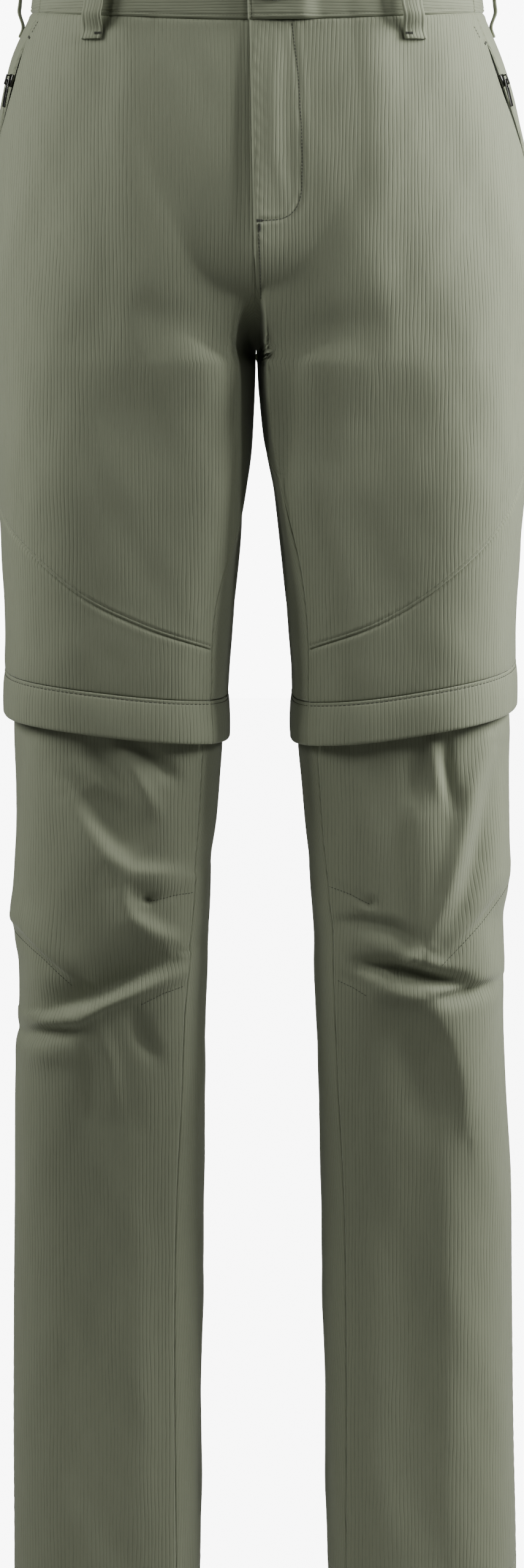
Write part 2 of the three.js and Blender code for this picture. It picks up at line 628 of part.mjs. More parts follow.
// The flap hangs from its stitched line and stands a little off the leg below.
function addFlap(side) {
  const line = FLAP_LINE[side].level;
  const inseam = inseamPlace(side, line);
  const sideSeam = sideSeamPlace(side, line);
  const parts = [
    { name: 'front', from: inseam, to: sideSeam, across: ACROSS_FRONT },
    { name: 'back', from: sideSeam, to: 1 + inseam, across: ACROSS_BACK },
  ];
  for (const part of parts) {
    const outer = [];
    const inner = [];
    for (const down of evenShares(4)) {
      const outerRow = [];
      const innerRow = [];
      for (const share of part.across) {
        const edge = SEAM_GAP / 2 / stretch(side, part.from, line);
        const around = mix(part.from + edge, part.to - edge, share);
        const z = flapLine(side, around);
        const point = skin(side, around, z);
        const flat = outward(side, around, z - FLAP_FACING_DROP).setZ(0).normalize();
        const turn = Math.PI * mix(FLAP_BULGE.from, FLAP_BULGE.to, down);
        const bulge = FLAP_BULGE.start + FLAP_BULGE.height * Math.sin(turn);
        point.z -= SEAM_GAP / 2 + FLAP_HEIGHT * down;
        outerRow.push(point.clone().addScaledVector(flat, bulge));
        innerRow.push(point.clone().addScaledVector(flat, bulge - CLOTH));
      }
      outer.push(outerRow);
      inner.push(innerRow);
    }
    add(`flap_${part.name}_${side}`, wallGeometry(outer, inner, side === 'right'), cloth(CLOTH_COLOUR));
  }
}

// A closed ring of zip tape behind both cloth edges, with its coil standing in the gap between them.
function addLegZip(side) {
  const line = FLAP_LINE[side].level;
  const inseam = inseamPlace(side, line);
  const sideSeam = sideSeamPlace(side, line);
  const places = [
    ...ACROSS_FRONT.slice(1).map((share) => mix(inseam, sideSeam, share)),
    ...ACROSS_BACK.slice(1).map((share) => mix(sideSeam, 1 + inseam, share)),
  ];
  const columns = places.length;
  const height = ZIP_GAP + 2 * ZIP_TUCK;
  const positions = [];
  const index = [];
  const rings = [];
  for (const face of ['outer', 'inner']) {
    for (const share of ZIP_SHARES) {
      const ring = [];
      for (let c = 0; c < columns; c += 1) {
        const around = places[c];
        const z = flapLine(side, around) + ZIP_TUCK - height * share;
        const coil = share > ZIP_COIL_SHARE.from && share < ZIP_COIL_SHARE.to ? ZIP_COIL : 0;
        const depth = (face === 'outer' ? coil : -ZIP_TAPE) - LAYER - ZIP_DEPTH;
        const point = skin(side, around, z).addScaledVector(outward(side, around, z), depth);
        ring.push(positions.length / 3);
        positions.push(point.x, point.y, point.z);
      }
      rings.push(ring);
    }
  }
  const count = ZIP_SHARES.length;
  const loop = [...rings.slice(0, count), ...rings.slice(count).reverse()];
  for (let r = 0; r < loop.length; r += 1) {
    const upper = loop[r];
    const lower = loop[(r + 1) % loop.length];
    for (let c = 0; c < columns; c += 1) {
      const next = (c + 1) % columns;
      if (side === 'right') index.push(upper[c], lower[next], lower[c], upper[c], upper[next], lower[next]);
      else index.push(upper[c], lower[c], lower[next], upper[c], lower[next], upper[next]);
    }
  }
  const geometry = new THREE.BufferGeometry();
  geometry.setAttribute('position', new THREE.Float32BufferAttribute(positions, 3));
  geometry.setIndex(index);
  geometry.computeVertexNormals();
  add(`leg_zip_${side}`, geometry, cloth(TRIM_COLOUR));
}

// The waistband: two fronts that overlap at the button, and a back.
function addWaistband() {
  const seamAt = (side) => () => sideSeamPlace(side, BAND_MIDDLE_Z);
  const underlap = -BAND_OVERLAP / stretch('right', BY_CENTRE, BAND_MIDDLE_Z);
  const common = { top: waistTop, bottom: waistSeam, rows: evenRows(2), wall: BAND_CLOTH };
  add('waistband_right', clothPiece({
    ...common,
    side: 'right',
    from: () => underlap,
    to: seamAt('right'),
    columns: evenShares(18),
    meet: [1, 0],
  }), cloth(BAND_COLOUR));
  const rampStart = BAND_OVERLAP + 3;
  add('waistband_left', clothPiece({
    ...common,
    side: 'left',
    from: () => -0.002,
    to: seamAt('left'),
    columns: evenShares(16),
    meet: [1, 0],
    raise: (around, z) => {
      const across = around * stretch('left', BY_INSEAM, z);
      return (BAND_CLOTH + BAND_LAP_GAP) * (1 - smooth(across, rampStart, rampStart + BAND_LAP_RAMP));
    },
  }), cloth(BAND_COLOUR));
  const start = sideSeamPlace('left', BAND_MIDDLE_Z);
  const end = 2 - sideSeamPlace('right', BAND_MIDDLE_Z);
  add('waistband_back', clothPiece({
    ...common,
    side: 'left',
    from: () => start,
    to: () => end,
    columns: evenShares(18),
  }), cloth(BAND_COLOUR));
}

// The strip of cloth behind the fly.
function addFlyShield() {
  const scale = stretch('left', BY_CENTRE, (WAIST_SEAM.front + SHIELD_BOTTOM_Z) / 2);
  add('fly_shield', clothPiece({
    side: 'left',
    from: () => -SHIELD_UNDERLAP / scale,
    to: () => SHIELD_WIDTH / scale,
    top: (around) => waistSeam(around) - 1,
    bottom: () => SHIELD_BOTTOM_Z,
    rows: evenRows(5),
    columns: evenShares(6),
    meet: [1, 1],
    raise: () => -LAYER - SHIELD_DEPTH,
  }), cloth(CLOTH_COLOUR));
}

// A strip that is sewn down at both ends and stands off the waistband between them.
function addBeltLoop({ name, side, x, around }) {
  let place = around;
  if (place === undefined) {
    let low = 0;
    let high = 0.5;
    for (let i = 0; i < 24; i += 1) {
      place = (low + high) / 2;
      if (Math.abs(skin(side, place, BAND_MIDDLE_Z).x) < Math.abs(x)) low = place;
      else high = place;
    }
  }
  const half = LOOP_WIDTH / 2 / stretch(side, Math.min(place, 1 - BY_CENTRE), BAND_MIDDLE_Z);
  const outer = [];
  const inner = [];
  const facing = outward(side, place, BAND_MIDDLE_Z);
  const head = waistTop(place) - LOOP_TOP_INSET;
  const foot = waistSeam(place) - LOOP_TAIL;
  for (const share of LOOP_SHARES) {
    const outerRow = [];
    const innerRow = [];
    const rise = LOOP_STAND * smooth(share, 0.05, 0.3) * (1 - smooth(share, 0.68, 0.93));
    for (const across of [-1, 0, 1]) {
      const at = place + across * half;
      const z = mix(head, foot, share);
      const base = skin(side, at, z).addScaledVector(outward(side, at, z), SEAM_GAP);
      innerRow.push(base.clone().addScaledVector(facing, rise));
      outerRow.push(base.addScaledVector(facing, rise + LOOP_CLOTH));
    }
    outer.push(outerRow);
    inner.push(innerRow);
  }
  add(name, wallGeometry(outer, inner, side === 'right'), cloth(CLOTH_COLOUR));
}

// The pocket zip: tape behind the slit, with the coil raised along its middle.
function addPocketZip(side) {
  const outer = [];
  const inner = [];
  for (const down of evenShares(14)) {
    const z = mix(POCKET_TOP_Z + POCKET_TAPE_OVER, POCKET_BOTTOM_Z - POCKET_TAPE_OVER, down);
    const place = sideSeamPlace(side, z);
    const scale = stretch(side, place, z);
    const outerRow = [];
    const innerRow = [];
    for (const offset of POCKET_TAPE_SHARES) {
      const around = place + offset * POCKET_TAPE / 2 / scale;
      const open = pocketHalf(z) > POCKET_COIL_CLEAR;
      const coil = open && Math.abs(offset) < POCKET_COIL_SHARE ? POCKET_COIL : 0;
      const point = skin(side, around, z);
      const normal = outward(side, around, z);
      const depth = -LAYER - POCKET_DEPTH;
      outerRow.push(point.clone().addScaledVector(normal, depth + coil));
      innerRow.push(point.clone().addScaledVector(normal, depth - ZIP_TAPE));
    }
    outer.push(outerRow);
    inner.push(innerRow);
  }
  add(`pocket_zip_${side}`, wallGeometry(outer, inner, side === 'right'), cloth(TRIM_COLOUR));
}

function toSolid(geometry) {
  const bare = geometry.clone();
  bare.deleteAttribute('normal');
  bare.deleteAttribute('uv');
  const merged = mergeVertices(bare, 1e-4);
  return new wasm.Manifold(new wasm.Mesh({
    numProp: 3,
    vertProperties: new Float32Array(merged.attributes.position.array),
    triVerts: new Uint32Array(merged.index.array),
  }));
}

function toGeometry(solid) {
  const mesh = solid.getMesh();
  const geometry = new THREE.BufferGeometry();
  geometry.setAttribute('position', new THREE.Float32BufferAttribute(mesh.vertProperties, 3));
  geometry.setIndex(Array.from(mesh.triVerts));
  geometry.computeVertexNormals();
  return geometry;
}

function extruded(shape, depth, segments = 3) {
  const options = { depth, bevelEnabled: false, curveSegments: segments };
  const geometry = new THREE.ExtrudeGeometry(shape, options);
  return geometry.translate(0, 0, -depth / 2);
}

function roundedRectangle(width, height, radius, centreX = 0, centreY = 0) {
  const shape = new THREE.Shape();
  const x = centreX - width / 2;
  const y = centreY - height / 2;
  shape.moveTo(x + radius, y);
  shape.lineTo(x + width - radius, y);
  shape.quadraticCurveTo(x + width, y, x + width, y + radius);
  shape.lineTo(x + width, y + height - radius);
  shape.quadraticCurveTo(x + width, y + height, x + width - radius, y + height);
  shape.lineTo(x + radius, y + height);
  shape.quadraticCurveTo(x, y + height, x, y + height - radius);
  shape.lineTo(x, y + radius);
  shape.quadraticCurveTo(x, y, x + radius, y);
  return shape;
}

// Slider and pull tab are made with X across the zip, Y up along it and Z out of the cloth.
const SPAN_ALONG_ZIP = new THREE.Matrix4().makeBasis(
  new THREE.Vector3(0, 1, 0),
  new THREE.Vector3(0, 0, 1),
  new THREE.Vector3(1, 0, 0),
);

function sliderGeometry() {
  const body = extruded(roundedRectangle(SLIDER.width, SLIDER.length, 1.4), SLIDER.thick);
  const height = SLIDER.eye + SLIDER.post;
  const bridge = roundedRectangle(SLIDER.bridgeSpan, height + 0.4, 0.9, 0, height / 2 - 0.2);
  const eye = roundedRectangle(SLIDER.bridgeSpan - 2 * SLIDER.post, SLIDER.eye, 0.3, 0, SLIDER.eye / 2);
  bridge.holes.push(eye);
  const arch = extruded(bridge, SLIDER.bridge).applyMatrix4(SPAN_ALONG_ZIP).translate(0, 0, SLIDER.thick);
  return toGeometry(toSolid(body.translate(0, 0, SLIDER.thick / 2)).add(toSolid(arch)));
}

function pullGeometry() {
  const centreY = PULL.bar / 2 - PULL.length / 2;
  const shape = roundedRectangle(PULL.width, PULL.length, 1.1, 0, centreY);
  const slot = roundedRectangle(PULL.slotWidth, PULL.slot, 0.3, 0, -PULL.bar / 2 - PULL.slot / 2);
  shape.holes.push(slot);
  return extruded(shape, PULL.thick);
}

// The frame of the zip at the slider: across, up along the zip, and out of the cloth.
function sliderFrame(side) {
  const place = sideSeamPlace(side, SLIDER.z);
  const above = SLIDER.z + SLIDER.length / 2;
  const under = SLIDER.z - SLIDER.length / 2;
  const top = skin(side, sideSeamPlace(side, above), above);
  const bottom = skin(side, sideSeamPlace(side, under), under);
  const up = top.sub(bottom).normalize();
  const out = outward(side, place, SLIDER.z);
  const across = new THREE.Vector3().crossVectors(up, out).normalize();
  out.crossVectors(across, up).normalize();
  const onCoil = POCKET_COIL - POCKET_DEPTH - LAYER + SEAM_GAP;
  const origin = skin(side, place, SLIDER.z).addScaledVector(out, onCoil);
  return { origin, across, up, out };
}

function addSlider(side) {
  const { origin, across, up, out } = sliderFrame(side);
  const basis = new THREE.Matrix4().makeBasis(across, up, out);
  const slider = add(`pocket_slider_${side}`, sliderGeometry(), metal(METAL_COLOUR));
  slider.position.copy(origin);
  slider.quaternion.setFromRotationMatrix(basis);
  const pull = add(`pocket_pull_${side}`, pullGeometry(), metal(METAL_COLOUR));
  pull.position.copy(origin).addScaledVector(out, SLIDER.thick + SLIDER.eye / 2);
  pull.quaternion.setFromRotationMatrix(basis);
  pull.rotateX(THREE.MathUtils.degToRad(PULL.lean));
}

function addButton() {
  const profile = [
    new THREE.Vector2(0, 0),
    new THREE.Vector2(BUTTON_RADIUS * 0.4, 0),
    new THREE.Vector2(BUTTON_RADIUS * 0.4, 1.2),
    new THREE.Vector2(BUTTON_RADIUS - 0.6, 1.2),
    new THREE.Vector2(BUTTON_RADIUS, 1.9),
    new THREE.Vector2(BUTTON_RADIUS - 0.5, 2.9),
    new THREE.Vector2(BUTTON_RADIUS * 0.72, 3.3),
    new THREE.Vector2(BUTTON_RADIUS * 0.6, 2.7),
    new THREE.Vector2(0, 2.7),
  ];
  const geometry = new THREE.LatheGeometry(profile, 24);
  geometry.rotateX(Math.PI / 2);
  let place = BY_INSEAM;
  for (let i = 0; i < 12; i += 1) {
    place += (BUTTON_X - skin('left', place, BUTTON_Z).x) / stretch('left', BY_INSEAM, BUTTON_Z);
  }
  const normal = outward('left', place, BUTTON_Z);
  const button = add('waist_button', geometry, metal(METAL_COLOUR));
  const lift = BAND_CLOTH + BAND_LAP_GAP + SEAM_GAP;
  button.position.copy(skin('left', place, BUTTON_Z)).addScaledVector(normal, lift);
  button.quaternion.setFromUnitVectors(new THREE.Vector3(0, 0, 1), normal);
}

addWaistband();
addFlyShield();
for (const side of ['right', 'left']) {
  addLegs(side);
  addPocketZip(side);
  addSlider(side);
}
for (const place of LOOP_PLACES) addBeltLoop(place);
addButton();

export default group;
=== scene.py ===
# %% [markdown]
# # Trekking trousers
# Trousers with lower legs that zip off, hanging in the hollow form they have when worn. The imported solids
# are the frame: this script dresses them in finer cloth, thread and metal, in the same place and size.
# A garment is easiest to follow in the order of its making: form, panels, seams, zips, metal, light.

# %% Load the frame
import math
from collections import namedtuple

import bpy
import numpy as np
from mathutils import Matrix, Vector


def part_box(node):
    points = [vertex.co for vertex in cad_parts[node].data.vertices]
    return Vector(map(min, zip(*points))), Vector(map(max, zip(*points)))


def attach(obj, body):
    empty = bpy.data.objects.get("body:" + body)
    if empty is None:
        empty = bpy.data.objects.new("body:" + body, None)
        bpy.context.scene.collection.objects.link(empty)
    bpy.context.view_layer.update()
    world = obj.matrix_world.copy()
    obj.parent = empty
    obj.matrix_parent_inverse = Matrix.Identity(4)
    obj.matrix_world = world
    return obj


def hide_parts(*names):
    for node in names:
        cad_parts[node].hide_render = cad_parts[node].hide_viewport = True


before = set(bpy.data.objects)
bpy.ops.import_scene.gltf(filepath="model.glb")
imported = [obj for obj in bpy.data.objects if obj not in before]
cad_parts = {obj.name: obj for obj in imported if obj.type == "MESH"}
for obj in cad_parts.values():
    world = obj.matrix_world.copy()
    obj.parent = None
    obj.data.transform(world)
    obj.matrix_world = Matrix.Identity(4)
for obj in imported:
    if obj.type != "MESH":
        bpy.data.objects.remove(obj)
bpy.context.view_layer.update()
bpy.ops.object.select_all(action="DESELECT")

# %% [markdown]
# The camera comes first, because every later choice is judged through it. The photograph looks slightly
# down on the trousers from three metres away, with a long lens, so that the legs hardly converge.

# %% Camera
CAMERA_PLACE = Vector((0, -3.0, -0.21))
CAMERA_PITCH_DOWN = math.radians(6.27)
FOCAL_PIXELS = 7489
PHOTO_HEIGHT_PIXELS = 2560
SENSOR_MM = 36

camera_data = bpy.data.cameras.new("camera")
camera_data.sensor_fit = "VERTICAL"
camera_data.sensor_height = SENSOR_MM
camera_data.lens = FOCAL_PIXELS / PHOTO_HEIGHT_PIXELS * SENSOR_MM
camera = bpy.data.objects.new("camera", camera_data)
camera.location = CAMERA_PLACE
camera.rotation_euler = (math.pi / 2 - CAMERA_PITCH_DOWN, 0, 0)
bpy.context.scene.collection.objects.link(camera)
bpy.context.scene.camera = camera
print("lens", round(camera_data.lens, 1), "mm")

# %% [markdown]
# ## The form of the cloth
# All panels lie on one skin, which two short tables describe in millimetres: the outline from the front,
# and the outline from the side. A sculpted mesh would also do, but a skin that is a function gives a point
# for any place around the leg and any height, so seams, stitches and the rib of the cloth all follow it.

# %% Tables of the form
MM = 0.001
CLOTH_WALL = 1.0
CROTCH_Z = -261
CROTCH_Y = 6
CROTCH_START_Z = -120
CROTCH_CURVE = {"front": 6, "back": 3.2}
CROTCH_SETTLE = 90
LEG_START_Z = -110
LEG_WHOLE_Z = -350
SIDE_SHARE = 1.2
SIDE_SPREAD = 2
BACK_CENTRE_X = -3.6
BACK_CENTRE_RUN = 40
SIGN = {"right": -1, "left": 1}
OTHER = {"right": "left", "left": "right"}

Outline = namedtuple("Outline", "z right_outer right_inner left_inner left_outer")
OUTLINE = [Outline(*row) for row in (
    (10, -145.5, -8, -8, 139.5),
    (-38, -148.5, -8, -8, 142.5),
    (-51, -154, -7.5, -7.5, 147.5),
    (-71, -162.5, -7, -7, 155.5),
    (-99, -169.5, -6.5, -6.5, 164.5),
    (-150, -176, -5.5, -5.5, 174.5),
    (-207, -179, -4.5, -4.5, 179),
    (-261, -175.6, -3.6, -3.6, 175.3),
    (-283, -174.3, -4.7, -2.2, 174.3),
    (-314, -172.9, -7.8, 1.8, 172.5),
    (-346, -171.5, -12.4, 7.8, 171.1),
    (-378, -169.8, -14.2, 11.8, 168.3),
    (-411, -168, -17, 15, 166.3),
    (-443, -167.3, -20.4, 18.7, 165.3),
    (-470, -167.3, -22.2, 19.8, 165),
    (-481, -162.6, -25, 22.8, 161.6),
    (-507, -161.8, -25.8, 23.5, 161.5),
    (-556, -160.8, -29.3, 27.6, 162),
    (-588, -162.1, -33.3, 30.5, 162.2),
    (-605, -162.9, -33.9, 31.8, 161),
    (-621, -163.9, -34.6, 33.2, 158),
    (-637, -162.2, -35.4, 34.2, 158.4),
    (-654, -159.8, -35.9, 34.3, 159.2),
    (-686, -160.6, -37.1, 35.5, 158.8),
    (-736, -163, -37.1, 36.8, 160.9),
    (-801, -163.8, -38.2, 38.8, 165),
    (-880, -165, -39.2, 40.2, 166.2),
    (-968, -165.6, -40.2, 41.9, 167.6),
    (-1052, -165.4, -41, 43.5, 169.7),
    (-1095, -165.4, -42.2, 45.2, 169.9),
)]

Profile = namedtuple("Profile", "z front side back")
PROFILE = [Profile(*row) for row in (
    (10, -102, 2, 106),
    (-45, -107, 2, 114),
    (-90, -113, 4, 124),
    (-150, -118, 6, 133),
    (-207, -119, 8, 138),
    (-261, -113, 6, 124),
    (-300, -107, 2, 106),
    (-346, -102, -2, 94),
    (-411, -96.5, -4, 86),
    (-470, -92, -5, 81),
    (-481, -87, -5, 76),
    (-520, -84, -6, 73),
    (-600, -82, -9, 63),
    (-660, -79, -8, 60),
    (-720, -70, -3, 66),
    (-801, -61, 3, 72),
    (-880, -57, 4, 71),
    (-968, -57, 1, 64),
    (-1095, -61, -2, 58),
)]

# How far the side seam lies forward of the side, along the cloth.
SideSeam = namedtuple("SideSeam", "z forward")
SIDE_SEAMS = [SideSeam(*row) for row in (
    (10, 49), (-58, 50), (-93, 50), (-125, 39), (-160, 27), (-208, 15), (-261, 9), (-310, 6), (-385, 3),
    (-507, 2), (-700, 2), (-840, 4), (-968, 8), (-1095, 10),
)]

# How far the inseam stands in from the leg's inner edge, as seen from the front.
Inseam = namedtuple("Inseam", "z right left")
INSEAMS = [Inseam(*row) for row in (
    (10, 0, 0), (-261, 0, 0), (-330, 0.8, 6.4), (-358, 1.9, 9.1), (-393, 10.3, 13.3), (-423, 14.3, 14.4),
    (-473, 12.8, 12.2), (-505, 14, 13.6), (-563, 12.8, 12.5), (-603, 11.3, 13), (-703, 15.2, 13.7),
    (-845, 19.4, 16.4), (-1054, 17, 13.6), (-1095, 15.6, 12.4),
)]
INSEAM_RISE = {"right": 0.62, "left": 1.1}

# The slanted seam above the knee: its share of the way from inseam to side seam, and its height.
KneeSeam = namedtuple("KneeSeam", "share z")
KNEE_SEAM = {
    "right": [KneeSeam(*row) for row in ((0, -445), (0.25, -428.5), (0.46, -410.5), (0.67, -380), (1, -336))],
    "left": [KneeSeam(*row) for row in ((0, -445), (0.27, -425.5), (0.47, -403.5), (0.69, -366), (1, -292))],
}
WAIST_TOP = {"side": 0, "front": -10, "back": 5}
WAIST_SEAM = {"side": -39, "front": -48.5, "back": -35}
FLAP_LINE = {"right": (-469, -8.5, -3.4), "left": (-465.5, -11.5, -6.8)}
FLAP_REACH = 75
HEM = {"right": (-1081, -2), "left": (-1077, -8)}


# %% [markdown]
# A curve through the rows of a table has to pass through them and stay smooth. Cubic pieces whose slope at a
# row is that between its neighbours do this, and swing little between rows that are close together.

# %% The skin
def column(rows, key, at, by="z"):
    """Reads one column of a table at any height, on a smooth curve through its rows."""
    knots = np.array([getattr(row, by) for row in rows], float)
    values = np.array([getattr(row, key) for row in rows], float)
    if knots[0] > knots[-1]:
        knots, values = knots[::-1], values[::-1]
    slopes = np.gradient(values)
    slopes[1:-1] = (values[2:] - values[:-2]) / (knots[2:] - knots[:-2])
    slopes[0] = (values[1] - values[0]) / (knots[1] - knots[0])
    slopes[-1] = (values[-1] - values[-2]) / (knots[-1] - knots[-2])
    at = np.asarray(at, float)
    i = np.clip(np.searchsorted(knots, at) - 1, 0, len(knots) - 2)
    span = knots[i + 1] - knots[i]
    t = np.clip((at - knots[i]) / span, 0, 1)
    h = t * t * (3 - 2 * t)
    bend = t * (1 - t) ** 2 * slopes[i] + t * t * (t - 1) * slopes[i + 1]
    return values[i] * (1 - h) + values[i + 1] * h + span * bend


def mix(a, b, share):
    return a + (b - a) * share


def smooth(x, low, high):
    t = np.clip((np.asarray(x, float) - low) / (high - low), 0, 1)
    return t * t * (3 - 2 * t)


def flap_line(side, around):
    level, inner, front = FLAP_LINE[side]
    turn = 2 * np.pi * np.asarray(around, float)
    return level + inner * np.cos(turn) + front * np.sin(turn)


# How square each quarter of a section is: 2 is an ellipse, and more than 2 fills its corner.
Square = namedtuple("Square", "z inner")
FRONT_INNER_SQUARE = [Square(*row) for row in (
    (10, 5), (-250, 5.5), (-330, 5), (-420, 3.6), (-520, 3.3), (-1095, 3.2),
)]
FRONT_OUTER_SQUARE = 2.8
BACK_SQUARE = 2.3
TRUNK_SQUARE = {"front": 2.65, "back": 2.35}


def fuller(across, depth, power):
    """The radius of a section with square corners, as a share of that of an ellipse."""
    return (np.abs(across) ** power + np.abs(depth) ** power) ** (-1 / power)


# Beside the crotch each thigh stands forward up to a narrow groove, which is soft on one side only.
CROTCH_FRONT = 4
CROTCH_TURN = {"right": 13, "left": 8}
CROTCH_TURN_WIDTH = 60
CROTCH_TURN_END = 96
CROTCH_GROOVE = {"right": (4, 15), "left": (2.8, 6.2)}
CROTCH_FULL_FADE = (-330, -430)
CROTCH_CLOSED = 0.1
HALF_GAP = 0.15


def fill_crotch(side, x, y, inner, front, turn, z):
    """Moves the cloth beside the crotch forward, so that only a narrow groove is left."""
    away = np.abs(x - inner)
    full = front + CROTCH_FRONT + CROTCH_TURN[side] * (1 - smooth(away, 0, CROTCH_TURN_WIDTH))
    share = smooth(away, *CROTCH_GROOVE[side]) * (1 - smooth(away, CROTCH_TURN_WIDTH, CROTCH_TURN_END))
    share = share * (1 - smooth(-z, -CROTCH_FULL_FADE[0], -CROTCH_FULL_FADE[1]))
    return np.where(turn < 0.25, mix(y, np.minimum(y, full), share), y)


SEAM_CORNER = 0.05
SEAM_CORNER_INSIDE = 0.13
SEAM_CORNER_WIDTH = 0.3
SEAM_CORNER_ROUND = 0.03
SEAM_CORNER_FADE = (-268, -350)
SEAM_TURNS = {}


def seam_corner(side, angle, z):
    """The pressed corner that the leg has at its inseam, as a share added to its radius."""
    if side not in SEAM_TURNS:
        return 0
    off = angle - 2 * np.pi * SEAM_TURNS[side](z)
    off = np.where(off > np.pi, off - 2 * np.pi, off)
    width = np.where(off < 0, SEAM_CORNER_INSIDE, SEAM_CORNER_WIDTH)
    corner = np.exp(-np.sqrt(off ** 2 + SEAM_CORNER_ROUND ** 2) / width)
    return SEAM_CORNER * corner * smooth(-z, -SEAM_CORNER_FADE[0], -SEAM_CORNER_FADE[1])


def half_skin(side, turn, z):
    """Points of one half. turn runs from 0 at the centre front or inner leg to 1 at the centre back."""
    level = z - (flap_line(side, turn) - FLAP_LINE[side][0]) * (
        1 - smooth(abs(z - FLAP_LINE[side][0]), 0, FLAP_REACH))
    sign = SIGN[side]
    outer = column(OUTLINE, side + "_outer", level)
    half_gap = mix(HALF_GAP, -CROTCH_CLOSED, smooth(z, CROTCH_Z - 3, CROTCH_Z + 3))
    inner = column(OUTLINE, side + "_inner", level) + sign * half_gap
    front = column(PROFILE, "front", level)
    side_y = column(PROFILE, "side", level)
    back = column(PROFILE, "back", level)

    leg_angle = 2 * np.pi * turn
    leg_power = np.where(np.cos(leg_angle) > 0, column(FRONT_INNER_SQUARE, "inner", z), FRONT_OUTER_SQUARE)
    leg_power = np.where(np.sin(leg_angle) < 0, BACK_SQUARE, leg_power)
    leg_full = fuller(np.cos(leg_angle), np.sin(leg_angle), leg_power) + seam_corner(side, leg_angle, z)
    leg_depth = np.where(np.sin(leg_angle) > 0, side_y - front, back - side_y)
    inner_y = mix(CROTCH_Y, side_y, smooth(CROTCH_Z - z, 0, CROTCH_SETTLE))
    leg_x = (outer + inner) / 2 - (outer - inner) / 2 * np.cos(leg_angle) * leg_full
    leg_y = mix(inner_y, side_y, (1 - np.cos(leg_angle)) / 2) - leg_depth * np.sin(leg_angle) * leg_full

    trunk_angle = np.pi * turn
    trunk_power = np.where(np.cos(trunk_angle) > 0, TRUNK_SQUARE["front"], TRUNK_SQUARE["back"])
    trunk_full = fuller(np.sin(trunk_angle), np.cos(trunk_angle), trunk_power)
    to_inner = 1 - smooth(z, CROTCH_Z, CROTCH_Z + BACK_CENTRE_RUN)
    centre = np.where(turn < 0.5, inner, mix(BACK_CENTRE_X + sign * 0.15, inner, to_inner))
    trunk_x = centre + (outer - centre) * np.sin(trunk_angle) * trunk_full
    trunk_depth = np.where(turn < 0.5, side_y - front, back - side_y)
    trunk_y = side_y - trunk_depth * np.cos(trunk_angle) * trunk_full
    below = np.clip((CROTCH_START_Z - z) / (CROTCH_START_Z - CROTCH_Z), 0, 1)
    at_side = 1 - smooth(z, LEG_WHOLE_Z, LEG_START_Z)
    towards_side = 1 - (1 - np.abs(np.sin(trunk_angle)) ** SIDE_SHARE) ** SIDE_SPREAD
    at_centre = below ** np.where(turn < 0.5, CROTCH_CURVE["front"], CROTCH_CURVE["back"])
    leg_share = np.where(z <= LEG_WHOLE_Z, 1, mix(at_centre, at_side, towards_side))
    x, y = mix(trunk_x, leg_x, leg_share), mix(trunk_y, leg_y, leg_share)
    return np.stack([x, fill_crotch(side, x, y, inner, front, turn, z), z + 0 * turn], -1)


def skin(side, around, z):
    """Points of the skin, with places past the centre front or back read on the other half."""
    around, z = np.broadcast_arrays(np.asarray(around, float), np.asarray(z, float))
    above = z > CROTCH_Z
    folded = np.where(around < 0, -around, np.where(around > 1, 2 - around, around))
    turn = np.where(above, folded, np.where(around == 1, 1, around % 1))
    points = half_skin(side, turn, z)
    over = above & ((around < 0) | (around > 1))
    if over.any():
        points = np.where(over[..., None], half_skin(OTHER[side], turn, z), points)
    return points


STEP_AROUND = 0.004
STEP_DOWN = 1.5


def stretch(side, around, z):
    """Millimetres of cloth for one whole turn of the place around."""
    a = skin(side, np.asarray(around) - STEP_AROUND, z)
    b = skin(side, np.asarray(around) + STEP_AROUND, z)
    return np.linalg.norm(a - b, axis=-1) / (2 * STEP_AROUND)


def outward(side, around, z):
    around, z = np.broadcast_arrays(np.asarray(around, float), np.asarray(z, float))
    above = z > CROTCH_Z
    low = np.where(above & (around >= 0), np.maximum(around - STEP_AROUND, 0), around - STEP_AROUND)
    high = np.where(above & (around <= 1), np.minimum(around + STEP_AROUND, 1), around + STEP_AROUND)
    across = skin(side, high, z) - skin(side, low, z)
    down = skin(side, around, z + STEP_DOWN) - skin(side, around, z - STEP_DOWN)
    normal = np.cross(across, down)
    return SIGN[side] * normal / np.linalg.norm(normal, axis=-1, keepdims=True)


print("hip", [round(float(skin(s, 0.5, -207)[0]), 1) for s in SIGN], "mm from the middle")

# %% [markdown]
# Seams are lines on the skin. A panel only needs to know where its four edges run, so each seam is a
# function of height or of the place around. Those of height are read once into a list, for speed.

# %% Seams and edges
HEIGHTS = np.arange(20, -1101, -2.0)[::-1]


def read_often(function):
    values = function(HEIGHTS)
    return lambda z: np.interp(z, HEIGHTS, values)


HALVINGS = 22


def find_inseam(side):
    def place(z):
        inner = skin(side, 0, z)[..., 0]
        low, high = np.zeros(z.shape), np.full(z.shape, 0.2)
        for _ in range(HALVINGS):
            middle = (low + high) / 2
            short = np.abs(skin(side, middle, z)[..., 0] - inner) < column(INSEAMS, side, z)
            low, high = np.where(short, middle, low), np.where(short, high, middle)
        start = INSEAM_RISE[side] * (CROTCH_Z - z) / stretch(side, 0.05, z)
        return np.where(z > CROTCH_Z, 0, np.minimum(low, start))
    return place


def find_side_seam(side):
    return lambda z: 0.5 - column(SIDE_SEAMS, "forward", z) / stretch(side, 0.48, z)


